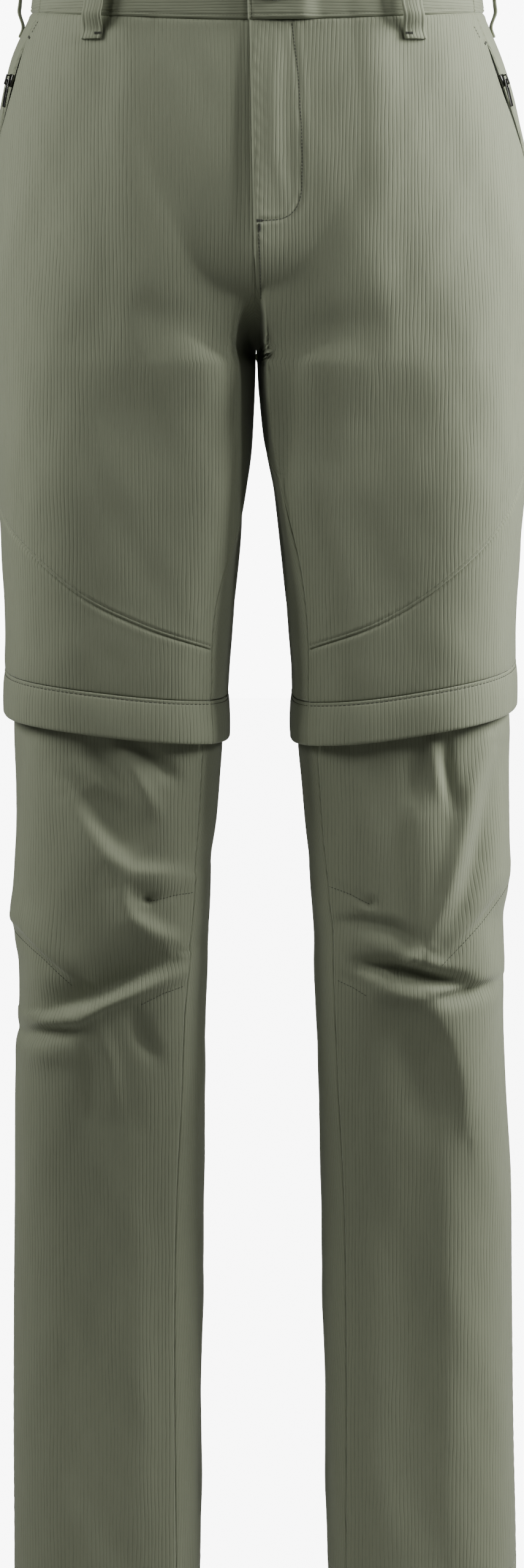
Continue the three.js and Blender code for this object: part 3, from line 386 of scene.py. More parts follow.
INSEAM = {side: read_often(find_inseam(side)) for side in SIGN}
SIDE_SEAM = {side: read_often(find_side_seam(side)) for side in SIGN}
SEAM_TURNS.update(INSEAM)
POCKET_TOP_Z = -58
POCKET_BOTTOM_Z = -208
POCKET_SLIT = 8.6
POCKET_END_ROUND = 2.6


def pocket_half(z):
    share = np.clip((POCKET_TOP_Z - z) / (POCKET_TOP_Z - POCKET_BOTTOM_Z), 0, 1)
    return POCKET_SLIT / 2 * np.minimum(1, POCKET_END_ROUND * np.sqrt(share * (1 - share)))


def pocket_edge(side, direction):
    def place(z):
        seam = SIDE_SEAM[side](z)
        return seam + direction * pocket_half(z) / stretch(side, seam, z)
    return read_often(place)


def waist_line(heights):
    def line(around):
        share = np.cos(np.pi * np.abs(np.asarray(around, float)))
        ends = np.where(share > 0, heights["front"], heights["back"])
        return mix(heights["side"], ends, share * share)
    return line


def knee_seam(side):
    rows = KNEE_SEAM[side]
    start = float(INSEAM[side](rows[0].z))
    end = float(SIDE_SEAM[side](rows[-1].z))
    return lambda around: column(rows, "z", np.clip((around - start) / (end - start), 0, 1), "share")


def behind(inseam):
    """The inseam as the far edge of a back panel, one whole turn on."""
    return lambda z: 1 + inseam(z)


def under_flap(side, drop):
    return lambda around: flap_line(side, around) - drop


def hem_line(side):
    level, front = HEM[side]
    return lambda around: level + front * np.sin(2 * np.pi * np.asarray(around, float))


waist_top = waist_line(WAIST_TOP)
waist_seam = waist_line(WAIST_SEAM)
print("inseam at the knee:", {side: round(float(INSEAM[side](-600)), 3) for side in SIGN})

# %% [markdown]
# ## Creases
# Cloth that has been worn keeps creases at the knee, where it bends, and hangs in softer waves elsewhere.
# They are placed from the photograph, each one along a line in front view: a trough has a negative
# height, and lean makes one of its sides steeper than the other, as where cloth folds over itself.

# %% Table of creases
Crease = namedtuple("Crease", "side face width height lean points")
CREASES = [Crease(*row) for row in (
    # Lower leg on the wearer's right: the long swoosh over the knee, lit along its crest
    ("right", "front", 9, 5.5, 0.35, ((-124, -536), (-110, -559), (-99, -575), (-84, -587), (-52, -590))),
    ("right", "front", 13, -4.5, 0.0, ((-112, -534), (-94, -558), (-78, -574))),
    ("right", "front", 8, 5.0, 0.3, ((-92, -596), (-84, -616), (-70, -626), (-54, -634))),
    # its deep valley, which runs down to the side and is blackest along its lower edge
    ("right", "front", 9, -9.5, 0.6, ((-57, -645), (-78, -655), (-97, -664), (-113, -672), (-142, -680))),
    ("right", "front", 4.5, 4.5, 0.0, ((-52, -653), (-85, -668), (-103, -675), (-118, -684), (-144, -688))),
    ("right", "front", 5, -5.0, 0.0, ((-118, -692), (-137, -694), (-160, -699))),
    ("right", "front", 9, 2.0, 0.0, ((-160, -712), (-138, -708), (-116, -706))),
    ("right", "front", 6, 2.2, 0.0, ((-104, -692), (-98, -712), (-95, -745))),
    ("right", "front", 5, -1.6, 0.0, ((-116, -692), (-113, -712), (-111, -750))),
    ("right", "front", 6, -3.0, 0.0, ((-82, -681), (-77, -697), (-68, -712))),
    # its outer dart, where the upper cloth stands over a flatter facet
    ("right", "front", 9, 3.6, -0.5, ((-164, -620), (-142, -638), (-121, -655))),
    ("right", "front", 4, -3.2, 0.4, ((-160, -627), (-141, -644), (-122, -661))),
    # its gathers under the flap, and the two inner darts
    ("right", "front", 7, -3.4, 0.0, ((-110, -498), (-98, -520), (-86, -536))),
    ("right", "front", 5.5, -4.2, 0.0, ((-80, -498), (-69, -515), (-56, -528))),
    ("right", "front", 6, 3.2, 0.0, ((-92, -504), (-80, -526), (-68, -548))),
    ("right", "front", 6, 2.2, 0.0, ((-116, -518), (-104, -530), (-92, -540))),
    ("right", "front", 3.2, -4.2, 0.0, ((-70, -605), (-76, -606))),
    ("right", "front", 3, -0.9, 0.0, ((-44, -598), (-56, -603), (-72, -606))),
    ("right", "front", 3, -1.2, 0.0, ((-50, -661), (-66, -668), (-80, -675))),
    # Lower leg on the wearer's left: two long folds that meet in a point, with ribbed shade beside them
    ("left", "front", 9, 6.0, -0.3, ((147, -505), (135, -535), (129, -565), (120, -603), (107, -636))),
    ("left", "front", 9, -6.0, 0.15, ((151, -512), (146, -543), (138, -579), (126, -611), (111, -637))),
    ("left", "front", 14, 2.6, -0.45, ((101, -506), (99, -550), (102, -594), (105, -633))),
    ("left", "front", 4, 3.4, 0.0, ((90, -646), (98, -643), (105, -636))),
    # its blackest fold, short and hard above, and the bulge of ribbed cloth under it
    ("left", "front", 5.2, -10.5, -0.15, ((63, -648), (88, -652), (110, -657), (133, -662))),
    ("left", "front", 6, 3.2, 0.0, ((92, -645), (104, -648), (120, -652))),
    ("left", "front", 7, 4.0, 0.0, ((70, -662), (92, -668), (112, -671))),
    ("left", "front", 5, -6.0, 0.3, ((112, -671), (132, -668), (152, -663))),
    ("left", "front", 6, -3.6, 0.3, ((48, -621), (67, -620), (85, -624), (103, -634))),
    ("left", "front", 10, 3.4, -0.4, ((112, -676), (123, -698), (130, -726), (134, -760))),
    ("left", "front", 12, -2.4, 0.0, ((88, -684), (98, -712), (106, -756))),
    ("left", "front", 8, 2.6, 0.5, ((160, -592), (142, -614), (120, -638))),
    ("left", "front", 4, -2.4, 0.3, ((156, -600), (141, -620), (116, -648))),
    # its gathers under the flap, and the two inner darts
    ("left", "front", 6, -3.4, 0.2, ((101, -496), (99, -514), (97, -545))),
    ("left", "front", 4, -3.6, 0.0, ((117, -496), (118, -516), (122, -546))),
    ("left", "front", 4.5, 2.8, 0.0, ((108, -500), (110, -516), (112, -536))),
    ("left", "front", 3, -1.8, 0.0, ((68, -607), (72, -609))),
    ("left", "front", 3, -0.9, 0.0, ((44, -595), (58, -603), (71, -609))),
    ("left", "front", 3, -1.0, 0.0, ((49, -655), (60, -661), (69, -667))),
    # Behind the knees
    ("right", "back", 8, -4.5, 0.0, ((-55, -600), (-90, -606), (-130, -620))),
    ("right", "back", 7, 3.0, 0.0, ((-58, -616), (-100, -622), (-140, -632))),
    ("right", "back", 9, -6.0, 0.2, ((-68, -640), (-105, -637), (-148, -630))),
    ("right", "back", 7, 3.5, 0.0, ((-60, -652), (-100, -650), (-138, -646))),
    ("right", "back", 8, -4.5, 0.0, ((-52, -668), (-85, -660), (-125, -656))),
    ("right", "back", 10, -2.5, 0.0, ((-70, -560), (-105, -575), (-140, -582))),
    ("left", "back", 8, -4.5, 0.0, ((58, -602), (95, -605), (134, -614))),
    ("left", "back", 7, 3.0, 0.0, ((55, -618), (98, -620), (142, -612))),
    ("left", "back", 9, -6.0, 0.2, ((66, -636), (105, -631), (146, -625))),
    ("left", "back", 7, 3.5, 0.0, ((62, -650), (100, -645), (140, -640))),
    ("left", "back", 8, -4.5, 0.0, ((54, -670), (85, -662), (122, -652))),
    ("left", "back", 10, -2.5, 0.0, ((72, -566), (108, -572), (144, -586))),
    # Beside the fly, at the crotch and under the seat
    ("right", "front", 9, -2.4, 0.0, ((-9, -66), (-10, -120), (-8, -180))),
    ("left", "front", 5, 1.0, 0.0, ((10, -58), (7, -90), (8, -130), (14, -160))),
    ("right", "front", 14, -2.0, 0.0, ((-10, -252), (-40, -238), (-84, -230))),
    ("left", "front", 14, -2.0, 0.0, ((8, -254), (38, -242), (80, -236))),
    ("right", "back", 15, -3.5, 0.0, ((-22, -262), (-62, -292), (-120, -300))),
    ("right", "back", 13, -2.5, 0.0, ((-26, -300), (-66, -330), (-118, -348))),
    ("left", "back", 15, -3.5, 0.0, ((20, -266), (60, -290), (116, -304))),
    ("left", "back", 13, -2.5, 0.0, ((24, -306), (64, -328), (112, -352))),
    # Long soft waves of the lower legs and thighs
    ("right", "front", 12, 2.4, 0.2, ((-84, -770), (-82, -880), (-78, -1020))),
    ("right", "front", 13, -1.6, 0.0, ((-116, -800), (-113, -900), (-116, -1000))),
    ("left", "front", 13, 2.6, -0.3, ((120, -760), (122, -880), (124, -1040))),
    ("left", "front", 16, -2.2, 0.0, ((98, -790), (96, -900), (98, -1040))),
    ("right", "back", 16, -2.2, 0.0, ((-100, -740), (-96, -860), (-102, -980))),
    ("left", "back", 16, -2.2, 0.0, ((98, -750), (104, -870), (100, -990))),
    ("right", "front", 20, -1.6, 0.0, ((-60, -300), (-66, -350), (-78, -410))),
    ("left", "front", 20, -1.6, 0.0, ((62, -310), (70, -360), (78, -405))),
)]


CREASE_END = 0.3
CREASE_BLUNT = 0.8
CREASE_FACE = (-25, 5)


def crease_height(side, points):
    """Height of all creases of one side at each point of the skin, in millimetres."""
    height = np.zeros(points.shape[:-1])
    for crease in CREASES:
        if crease.side != side:
            continue
        line = np.array(crease.points, float)
        lengths = np.linalg.norm(np.diff(line, axis=0), axis=1)
        starts = np.concatenate([[0], np.cumsum(lengths)])
        near = np.full(height.shape, np.inf)
        off = np.zeros(height.shape)
        share = np.zeros(height.shape)
        for i, length in enumerate(lengths):
            dx, dz = (line[i + 1] - line[i]) / length
            px = points[..., 0] - line[i, 0]
            pz = points[..., 2] - line[i, 1]
            along = np.clip(px * dx + pz * dz, 0, length)
            distance = np.hypot(px - along * dx, pz - along * dz)
            nearer = distance < near
            beside = np.where(px * dz - pz * dx > 0, distance, -distance)
            off = np.where(nearer, beside, off)
            share = np.where(nearer, (starts[i] + along) / starts[-1], share)
            near = np.minimum(near, distance)
        taper = CREASE_END + (1 - CREASE_END) * np.sin(np.pi * share) ** CREASE_BLUNT
        width = crease.width * (1 + crease.lean * np.sign(off))
        face = smooth(points[..., 1] * (1 if crease.face == "back" else -1), *CREASE_FACE)
        height += crease.height * taper * np.exp(-(off / width) ** 2) * face
    return height


print("creases:", len(CREASES))

# %% [markdown]
# Between its creases no cloth is perfectly even. A few long waves of less than half a millimetre keep the
# highlights alive, and a shorter pucker runs along every stitched edge, where thread draws the cloth in.

# %% Small waves
Wave = namedtuple("Wave", "length_u length_v height phase")
WAVES = [Wave(*row) for row in (
    (83, 210, 0.32, 0.4), (57, 131, 0.22, 1.9), (-49, 97, 0.18, 3.1),
    (37, 71, 0.1, 5.2), (-29, 53, 0.07, 2.6),
)]


def small_waves(u, v):
    total = 0
    for wave in WAVES:
        total = total + wave.height * np.sin(2 * np.pi * (u / wave.length_u + v / wave.length_v) + wave.phase)
    return total


# %% [markdown]
# The rib of the cloth runs along its grain, so each point needs to know how far it lies from a straight
# grain line, measured along the cloth. That distance and the height are the cloth's own UV map, in metres.

# %% Distance along the cloth
GRAIN_X = 95
TABLE_AROUND = np.linspace(-0.1, 1.25, 541)
TABLE_HEIGHTS = np.arange(-1100, 21, 8.0)
TABLE_LAST = 1.001


def measure_cloth(side):
    grid_around, grid_z = np.meshgrid(TABLE_AROUND, TABLE_HEIGHTS)
    points = skin(side, grid_around, grid_z)
    steps = np.linalg.norm(np.diff(points, axis=1), axis=-1)
    lengths = np.concatenate([np.zeros((len(TABLE_HEIGHTS), 1)), np.cumsum(steps, axis=1)], axis=1)
    x = np.abs(points[..., 0])
    grain = {}
    for face, low, high in (("front", 0.06, 0.5), ("back", 0.5, 0.94)):
        inside = (TABLE_AROUND >= low) & (TABLE_AROUND <= high)
        rows = []
        for k in range(len(TABLE_HEIGHTS)):
            order = np.argsort(x[k][inside])
            rows.append(np.interp(GRAIN_X, x[k][inside][order], lengths[k][inside][order]))
        grain[face] = np.array(rows)
    return lengths, grain


CLOTH_LENGTHS = {side: measure_cloth(side) for side in SIGN}


def grain_distance(side, face, around, z):
    """Distance along the cloth from the straight grain line of the front or the back."""
    lengths, grain = CLOTH_LENGTHS[side]
    places = []
    for table, value in ((TABLE_HEIGHTS, z), (TABLE_AROUND, around)):
        place = (value - table[0]) / (table[1] - table[0])
        places.append(np.clip(place, 0, len(table) - TABLE_LAST))
    row, cell = places
    i, j = row.astype(int), cell.astype(int)
    a, b = row - i, cell - j
    upper = mix(lengths[i, j], lengths[i, j + 1], b)
    lower = mix(lengths[i + 1, j], lengths[i + 1, j + 1], b)
    zero = mix(grain[face][i], grain[face][i + 1], a)
    return mix(upper, lower, a) - zero


HIP_Z = -207.0
hip_to_grain = grain_distance("left", "front", np.array(0.5), np.array(HIP_Z))
print("hip to grain line:", round(float(hip_to_grain)), "mm")

# %% [markdown]
# ## Panels
# A panel is a grid of points between its four edges, with its inner face one millimetre behind. At a seam
# the cloth turns in, so each edge has a profile: pairs of distance and height. Where a seam is topstitched,
# the profile dips under the thread. Grid lines are put exactly on those distances, so that a groove of one
# millimetre stays crisp on a mesh whose other cells are two or three millimetres wide.

# %% Edge profiles
TURNED = ((0, -0.95), (0.35, -0.4), (0.9, -0.05), (1.6, 0))
FLAT = ((0, -0.5), (0.4, -0.15), (1.0, 0))
FREE = ((0, -0.6), (0.3, -0.15), (0.8, 0))
STITCHED = ((0, -0.95), (0.35, -0.35), (0.9, 0.1), (1.6, 0.12), (2.2, -0.4), (2.8, 0.12), (4.5, 0.1), (7, 0))
UNDER_STITCHED = ((0, -0.95), (0.35, -0.5), (0.9, -0.15), (2.4, 0.25), (5, 0))
HEMMED = ((0, -0.6), (0.3, -0.15), (0.8, 0), (21.4, 0.1), (22.0, -0.45), (22.6, 0.15), (25, 0))
STITCH_ROW = 2.2
HEM_ROW = 22.0
EDGE_GAP = 0.15


# %% Mesh of a wall
def make_mesh(name, vertices, faces, uv=None):
    """A smooth mesh object from millimetre points. uv has one pair for each vertex."""
    mesh = bpy.data.meshes.new(name)
    mesh.from_pydata((np.asarray(vertices) * MM).tolist(), [], np.asarray(faces).tolist())
    mesh.polygons.foreach_set("use_smooth", [True] * len(mesh.polygons))
    if uv is not None:
        corners = np.empty(len(mesh.loops), np.int32)
        mesh.loops.foreach_get("vertex_index", corners)
        layer = mesh.uv_layers.new(name="cloth")
        layer.data.foreach_set("uv", (np.asarray(uv) * MM)[corners].ravel())
    mesh.update()
    piece = bpy.data.objects.new(name, mesh)
    bpy.context.scene.collection.objects.link(piece)
    return piece


def wall_mesh(name, outer, inner, uv, flip, ring=False):
    """A closed wall between two grids of points. In a ring the last column meets the first."""
    rows, columns = outer.shape[:2]
    index = np.arange(rows * columns).reshape(rows, columns)
    if ring:
        index = np.concatenate([index, index[:, :1]], axis=1)
    cells = np.stack([index[:-1, :-1], index[1:, :-1], index[1:, 1:], index[:-1, 1:]], -1)
    front_faces = cells.reshape(-1, 4)
    rims = [index[0], index[-1][::-1]]
    if not ring:
        rims += [index[:, -1], index[::-1, 0]]
    faces = [front_faces, front_faces[:, ::-1] + rows * columns]
    for edge in rims:
        other = edge + rows * columns
        faces.append(np.stack([edge[:-1], edge[1:], other[1:], other[:-1]], -1))
    faces = np.concatenate(faces)
    if flip:
        faces = faces[:, ::-1]
    points = np.concatenate([outer.reshape(-1, 3), inner.reshape(-1, 3)])
    return make_mesh(name, points, faces, np.concatenate([uv.reshape(-1, 2)] * 2))


def wall_area(points):
    across = points[:-1, 1:] - points[:-1, :-1]
    down = points[1:, :-1] - points[:-1, :-1]
    return float(np.linalg.norm(np.cross(across, down), axis=-1).sum())


# %% [markdown]
# The grid is laid in a few rounds: the width of a millimetre in places around depends on the height, and
# the height of a slanted seam depends on the place around. Each round corrects one with the other.

# %% Grid of a panel
Panel = namedtuple("Panel", "piece points normals profile size area")
PANELS = {}
ROUNDS = 6


def spaced(length, step, close=None):
    """Shares of a length in steps, with closer steps where close = (from, to, step) says so."""
    places = [0.0]
    while places[-1] < length:
        here = places[-1]
        inside = close is not None and close[0] <= here < close[1]
        places.append(here + (close[2] if inside else step))
    return np.array(places[1:-1]) / length


def lay_grid(side, left, right, top, bottom, profile, step, close_rows, close_columns):
    """Places around and heights of a panel's points, and how far each point lies from the four edges."""
    places = {key: np.array([pair[0] for pair in rows]) + EDGE_GAP for key, rows in profile.items()}
    high = float(top(0.25))
    middle_around = float(left(high) + right(high)) / 2
    z_top, z_bottom = float(top(middle_around)), float(bottom(middle_around))
    middle = mix(z_top, z_bottom, 0.5)
    width = float((right(middle) - left(middle)) * stretch(side, middle_around, middle))
    if close_rows:
        close_rows = (z_top - close_rows[0], z_top - close_rows[1], close_rows[2])
    down = spaced(z_top - z_bottom, step, close_rows)
    across = spaced(width, step, close_columns)
    n_left, n_right, n_top, n_bottom = (len(places[key]) for key in ("left", "right", "top", "bottom"))
    rows = n_top + len(down) + n_bottom
    columns = n_left + len(across) + n_right
    z = np.linspace(z_top, z_bottom, rows)[:, None] + np.zeros((1, columns))
    around = np.zeros((rows, columns))
    inside = slice(n_left, columns - n_right)
    between = slice(n_top, rows - n_bottom)
    for _ in range(ROUNDS):
        start, end = left(z), right(z)
        scale_left = stretch(side, start[:, :1] + 0.01, z[:, :1])
        scale_right = stretch(side, end[:, -1:] - 0.01, z[:, -1:])
        around[:, :n_left] = start[:, :n_left] + places["left"] / scale_left
        around[:, columns - n_right:] = end[:, columns - n_right:] - places["right"][::-1] / scale_right
        first = start + places["left"][-1] / scale_left
        last = end - places["right"][-1] / scale_right
        around[:, inside] = mix(first[:, inside], last[:, inside], across[None, :])
        slant = {}
        for key, line, row in (("top", top, 0), ("bottom", bottom, -1)):
            rise = line(around[row] + 0.005) - line(around[row] - 0.005)
            slant[key] = 1 / np.sqrt(1 + (rise / (0.01 * stretch(side, around[row], z[row]))) ** 2)
        above, under = top(around), bottom(around)
        z[:n_top] = above[:n_top] - places["top"][:, None] / slant["top"]
        z[rows - n_bottom:] = under[rows - n_bottom:] + places["bottom"][::-1, None] / slant["bottom"]
        upper = above - places["top"][-1] / slant["top"]
        lower = under + places["bottom"][-1] / slant["bottom"]
        z[between] = mix(upper[between], lower[between], down[:, None])
    distance = {
        "left": (around - left(z)) * scale_left,
        "right": (right(z) - around) * scale_right,
        "top": (top(around) - z) * slant["top"],
        "bottom": (z - bottom(around)) * slant["bottom"],
    }
    return around, z, distance


# %% Panel
def profile_height(profile, distance):
    places, heights = np.array(profile, float).T
    return np.interp(distance - EDGE_GAP, places, heights)


SEAM_ALLOWANCE = 0.5


def with_allowance(inner):
    """Moves the edges of the inner face out a little, so that panels meet behind their seam."""
    grown = inner.copy()
    for edge, within in (((0, slice(None)), (1, slice(None))), ((-1, slice(None)), (-2, slice(None))),
                         ((slice(None), 0), (slice(None), 1)), ((slice(None), -1), (slice(None), -2))):
        way = inner[edge] - inner[within]
        grown[edge] = grown[edge] + SEAM_ALLOWANCE * way / np.linalg.norm(way, axis=-1, keepdims=True)
    return grown


CROTCH_EDGE = (-276, -264, -236, -212)
PUCKER_LENGTH = 9.5
PUCKER_HEIGHT = 0.16
PUCKER_REACH = 5
PUCKER_DRIFT = 1.7
PUCKER_DRIFT_LENGTH = 23


def cloth_panel(node, side, left, right, top, bottom, edges, step=3.0, close_rows=None, close_columns=None,
                face="front", raised=None, wall=CLOTH_WALL, ribs="down", creased=True):
    """Builds the shell of one panel and remembers its grid.

    left and right give the side edges at a height, top and bottom the other two at a place around.
    edges names the profiles of the left, right, top and bottom edge."""
    profile = dict(zip(("left", "right", "top", "bottom"), edges))
    around, z, distance = lay_grid(side, left, right, top, bottom, profile, step, close_rows, close_columns)
    base = skin(side, around, z)
    normals = outward(side, around, z)
    u = grain_distance(side, face, around, z)
    edge = sum(profile_height(profile[key], distance[key]) for key in profile)
    edge = np.maximum(edge, 0.05 - wall)
    at_crotch = smooth(z, CROTCH_EDGE[0], CROTCH_EDGE[1]) * (1 - smooth(z, CROTCH_EDGE[2], CROTCH_EDGE[3]))
    edge = edge * (1 - at_crotch * (np.abs(base[..., 0]) < CROTCH_TURN_WIDTH))
    nearest = np.minimum.reduce(list(distance.values()))
    drift = PUCKER_DRIFT * np.sin((u - z) / PUCKER_DRIFT_LENGTH)
    pucker = PUCKER_HEIGHT * np.sin(2 * np.pi * (u + z) / PUCKER_LENGTH + drift)
    common = small_waves(u, z) * smooth(nearest, 2, 30)
    common = common + pucker * np.exp(-nearest / PUCKER_REACH) * smooth(nearest, 0, 2)
    if creased:
        common = common + crease_height(side, base)
    if raised is not None:
        common = common + raised(side, around, z, base)
    outer = base + normals * (common + edge)[..., None]
    inner = base + normals * (common - wall)[..., None]
    inner = with_allowance(inner)
    uv = np.stack([u, z] if ribs == "down" else [z, u], -1)
    piece = wall_mesh("cloth_" + node, outer, inner, uv, side == "right")
    surface = np.cross(np.gradient(outer, axis=1), np.gradient(outer, axis=0)) * SIGN[side]
    surface /= np.maximum(np.linalg.norm(surface, axis=-1, keepdims=True), 1e-9)
    size = (float(np.ptp(u)), float(np.ptp(z)))
    PANELS[node] = Panel(piece, outer, surface, profile, size, wall_area(outer))


def finish_cloth(node):
    """Attaches a panel to the garment's body and hides the solid it replaces."""
    panel = PANELS[node]
    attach(panel.piece, "garment")
    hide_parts(node)


# %% [markdown]
# ### Fly
# The wearer's left front carries the overlap of the fly, whose thick fold stands up along its edge. A row
# of stitches in the shape of a J holds the facing behind it and sinks into the cloth as a fine groove.

# %% Fly overlap and its stitched groove
FLY_LIP = 1.8
FLY_LIP_WIDTH = 26
FLY_LIP_FADE = (-208, -180)
FLY_BED = 0.6
FLY_TOP = (18.5, -50)
FLY_STRAIGHT_END = (25, -148)
FLY_CORNER = (24.6, 25)
FLY_GROOVE_DEPTH = 0.45
FLY_GROOVE_WIDTH = 0.9
FLY_PUFF = (0.3, 3, 1.8)


def fly_stitch_line():
    """Front view points of the J, from the waistband down and round to the edge of the fly."""
    top = np.array([FLY_TOP, (22.3, -80), (24.3, -110), (25, -130), FLY_STRAIGHT_END])
    turn = np.linspace(0, np.pi / 2, 9)[1:]
    reach_x, reach_z = FLY_CORNER
    corner = np.stack([FLY_STRAIGHT_END[0] - reach_x + reach_x * np.cos(turn) ** 0.62,
                       FLY_STRAIGHT_END[1] - reach_z * np.sin(turn) ** 0.8], -1)
    return np.concatenate([top, corner, [(-3, FLY_STRAIGHT_END[1] - reach_z)]])


def line_distance(points, line):
    """Distance in front view from points to a line of (x, z) pairs."""
    near = np.full(points.shape[:-1], np.inf)
    for a, b in zip(line[:-1], line[1:]):
        step = b - a
        length = np.hypot(*step)
        px, pz = points[..., 0] - a[0], points[..., 2] - a[1]
        along = np.clip((px * step[0] + pz * step[1]) / length, 0, length)
        near = np.minimum(near, np.hypot(px - along * step[0] / length, pz - along * step[1] / length))
    return near


def fly_form(side, around, z, base):
    """The raised fold of the overlap, and on its own side the groove under the J."""
    across = around * stretch(side, 0.02, z)
    fade = smooth(z, *FLY_LIP_FADE)
    if side == "right":
        return FLY_BED * fade * (1 - smooth(across, 0, 2))
    lip = FLY_LIP * fade * (1 - smooth(across, 0, FLY_LIP_WIDTH))
    off = line_distance(base, fly_stitch_line())
    groove = -FLY_GROOVE_DEPTH * np.exp(-(off / FLY_GROOVE_WIDTH) ** 2)
    puff_height, puff_place, puff_width = FLY_PUFF
    puff = puff_height * np.exp(-((off - puff_place) / puff_width) ** 2)
    return lip + groove + puff


# %% [markdown]
# ### Upper legs
# Each half has a front and a back, which meet in the centre seam and the inseam. A third panel crosses the
# thigh above the knee on a slant. Its upper edge lies under the stitched edge of the front.

# %% Fronts, backs and knee panels
BANDS = ["waistband_right", "waistband_left", "waistband_back"]
FLY_ROWS = (-50, -184, 1.1)
FLY_COLUMNS = (0, 31, 0.8)
for side in SIGN:
    inseam, side_seam, flap_edge = INSEAM[side], SIDE_SEAM[side], under_flap(side, 0)
    cloth_panel(f"front_{side}", side, inseam, pocket_edge(side, -1), waist_seam, knee_seam(side),
                (TURNED, STITCHED, UNDER_STITCHED, STITCHED), raised=fly_form,
                close_rows=FLY_ROWS if side == "left" else None,
                close_columns=FLY_COLUMNS if side == "left" else None)
    cloth_panel(f"back_{side}", side, pocket_edge(side, 1), behind(inseam), waist_seam, flap_edge,
                (TURNED, TURNED, UNDER_STITCHED, TURNED), step=3.4, face="back")
    cloth_panel(f"knee_panel_{side}", side, inseam, side_seam, knee_seam(side), flap_edge,
                (TURNED, TURNED, UNDER_STITCHED, FLAT), step=2.6)
    finish_cloth(f"front_{side}")
    finish_cloth(f"back_{side}")
    finish_cloth(f"knee_panel_{side}")

# %% [markdown]
# ### Lower legs
# They start behind the flap and end in a hem that is turned up by 22 millimetres. The fronts have the deep
# creases of the knee, so their grid is finer than that of the backs.

# %% Lower legs
ZIP_GAP = 12
KNEE_ROWS = (-480, -745, 1.9)
for side in SIGN:
    inseam, side_seam, shin_top = INSEAM[side], SIDE_SEAM[side], under_flap(side, ZIP_GAP)
    cloth_panel(f"shin_front_{side}", side, inseam, side_seam, shin_top, hem_line(side),
                (TURNED, TURNED, TURNED, HEMMED), step=2.0, close_rows=KNEE_ROWS)
    cloth_panel(f"shin_back_{side}", side, side_seam, behind(inseam), shin_top, hem_line(side),
                (TURNED, TURNED, TURNED, HEMMED), step=3.2, face="back")
    finish_cloth(f"shin_front_{side}")
    finish_cloth(f"shin_back_{side}")

# %% [markdown]
# ### Waistband
# A firm double band, with its rib running around. Its left end laps over the right one under the button.

# %% Waistband
BAND_WALL = 2.2
BAND_RAISE = 0.5
BAND_OVERLAP = 30
BAND_LAP = 3.2
BAND_RAMP = (33, 45)
BAND_MIDDLE_Z = -20
BAND_START = -0.002


def band_form(side, around, z, base):
    across = around * stretch("left", 0.05, z)
    lap = BAND_LAP * (1 - smooth(across, *BAND_RAMP)) if side == "left" else 0
    return BAND_RAISE + lap + 0 * z


def level_band(side, around, z, base):
    return BAND_RAISE + 0 * z


def fixed(place):
    return lambda z: place + 0 * np.asarray(z, float)


band_seam = {side: float(SIDE_SEAM[side](BAND_MIDDLE_Z)) for side in SIGN}
underlap = -BAND_OVERLAP / float(stretch("right", 0.02, BAND_MIDDLE_Z))
back_end = 2 - band_seam["right"]
for node, side, left, right, edges, form, face in (
    ("waistband_right", "right", underlap, band_seam["right"], (FREE, TURNED), band_form, "front"),
    ("waistband_left", "left", BAND_START, band_seam["left"], (STITCHED, TURNED), band_form, "front"),
    ("waistband_back", "left", band_seam["left"], back_end, (TURNED, TURNED), level_band, "back"),
):
    cloth_panel(node, side, fixed(left), fixed(right), waist_top, waist_seam, edges + (STITCHED, STITCHED),
                step=2.6, wall=BAND_WALL, ribs="around", raised=form, creased=False, face=face)
    finish_cloth(node)

# %% [markdown]
# ### Flap over the leg zip
# It hangs from its stitched line and stands a little off the leg, so its own form is a shallow bow. A flap
# like this is never quite even: its lower edge waves a little in and out.

# %% Flaps
FLAP_HEIGHT = 28
FLAP_START = 0.2
FLAP_BOW = 1.0
FLAP_BOW_FROM = 0.04
FLAP_BOW_TO = 0.76
FLAP_FACING_DROP = 6
FLAP_WALL = 1.3
FLAP_ROWS = (0.15, 0.5, 1.0, 1.7, 2.3, 2.9, 4, 6, 9, 12, 15, 18, 21, 23.5, 25.5, 26.8, 27.5, 27.85)
FLAP_STITCH_DEPTH = 0.45
FLAP_STITCH_WIDTH = 0.5
FLAP_STEP = 2.8
FLAP_PUFF = 0.25
FLAP_PHASE = {"right": 0.8, "left": 2.4}
FLAP_WAVES = ((0.55, 21, 1), (0.35, 9.7, 2))


def flap_wave(along, side):
    return sum(height * np.sin(along / length + turns * FLAP_PHASE[side])
               for height, length, turns in FLAP_WAVES)


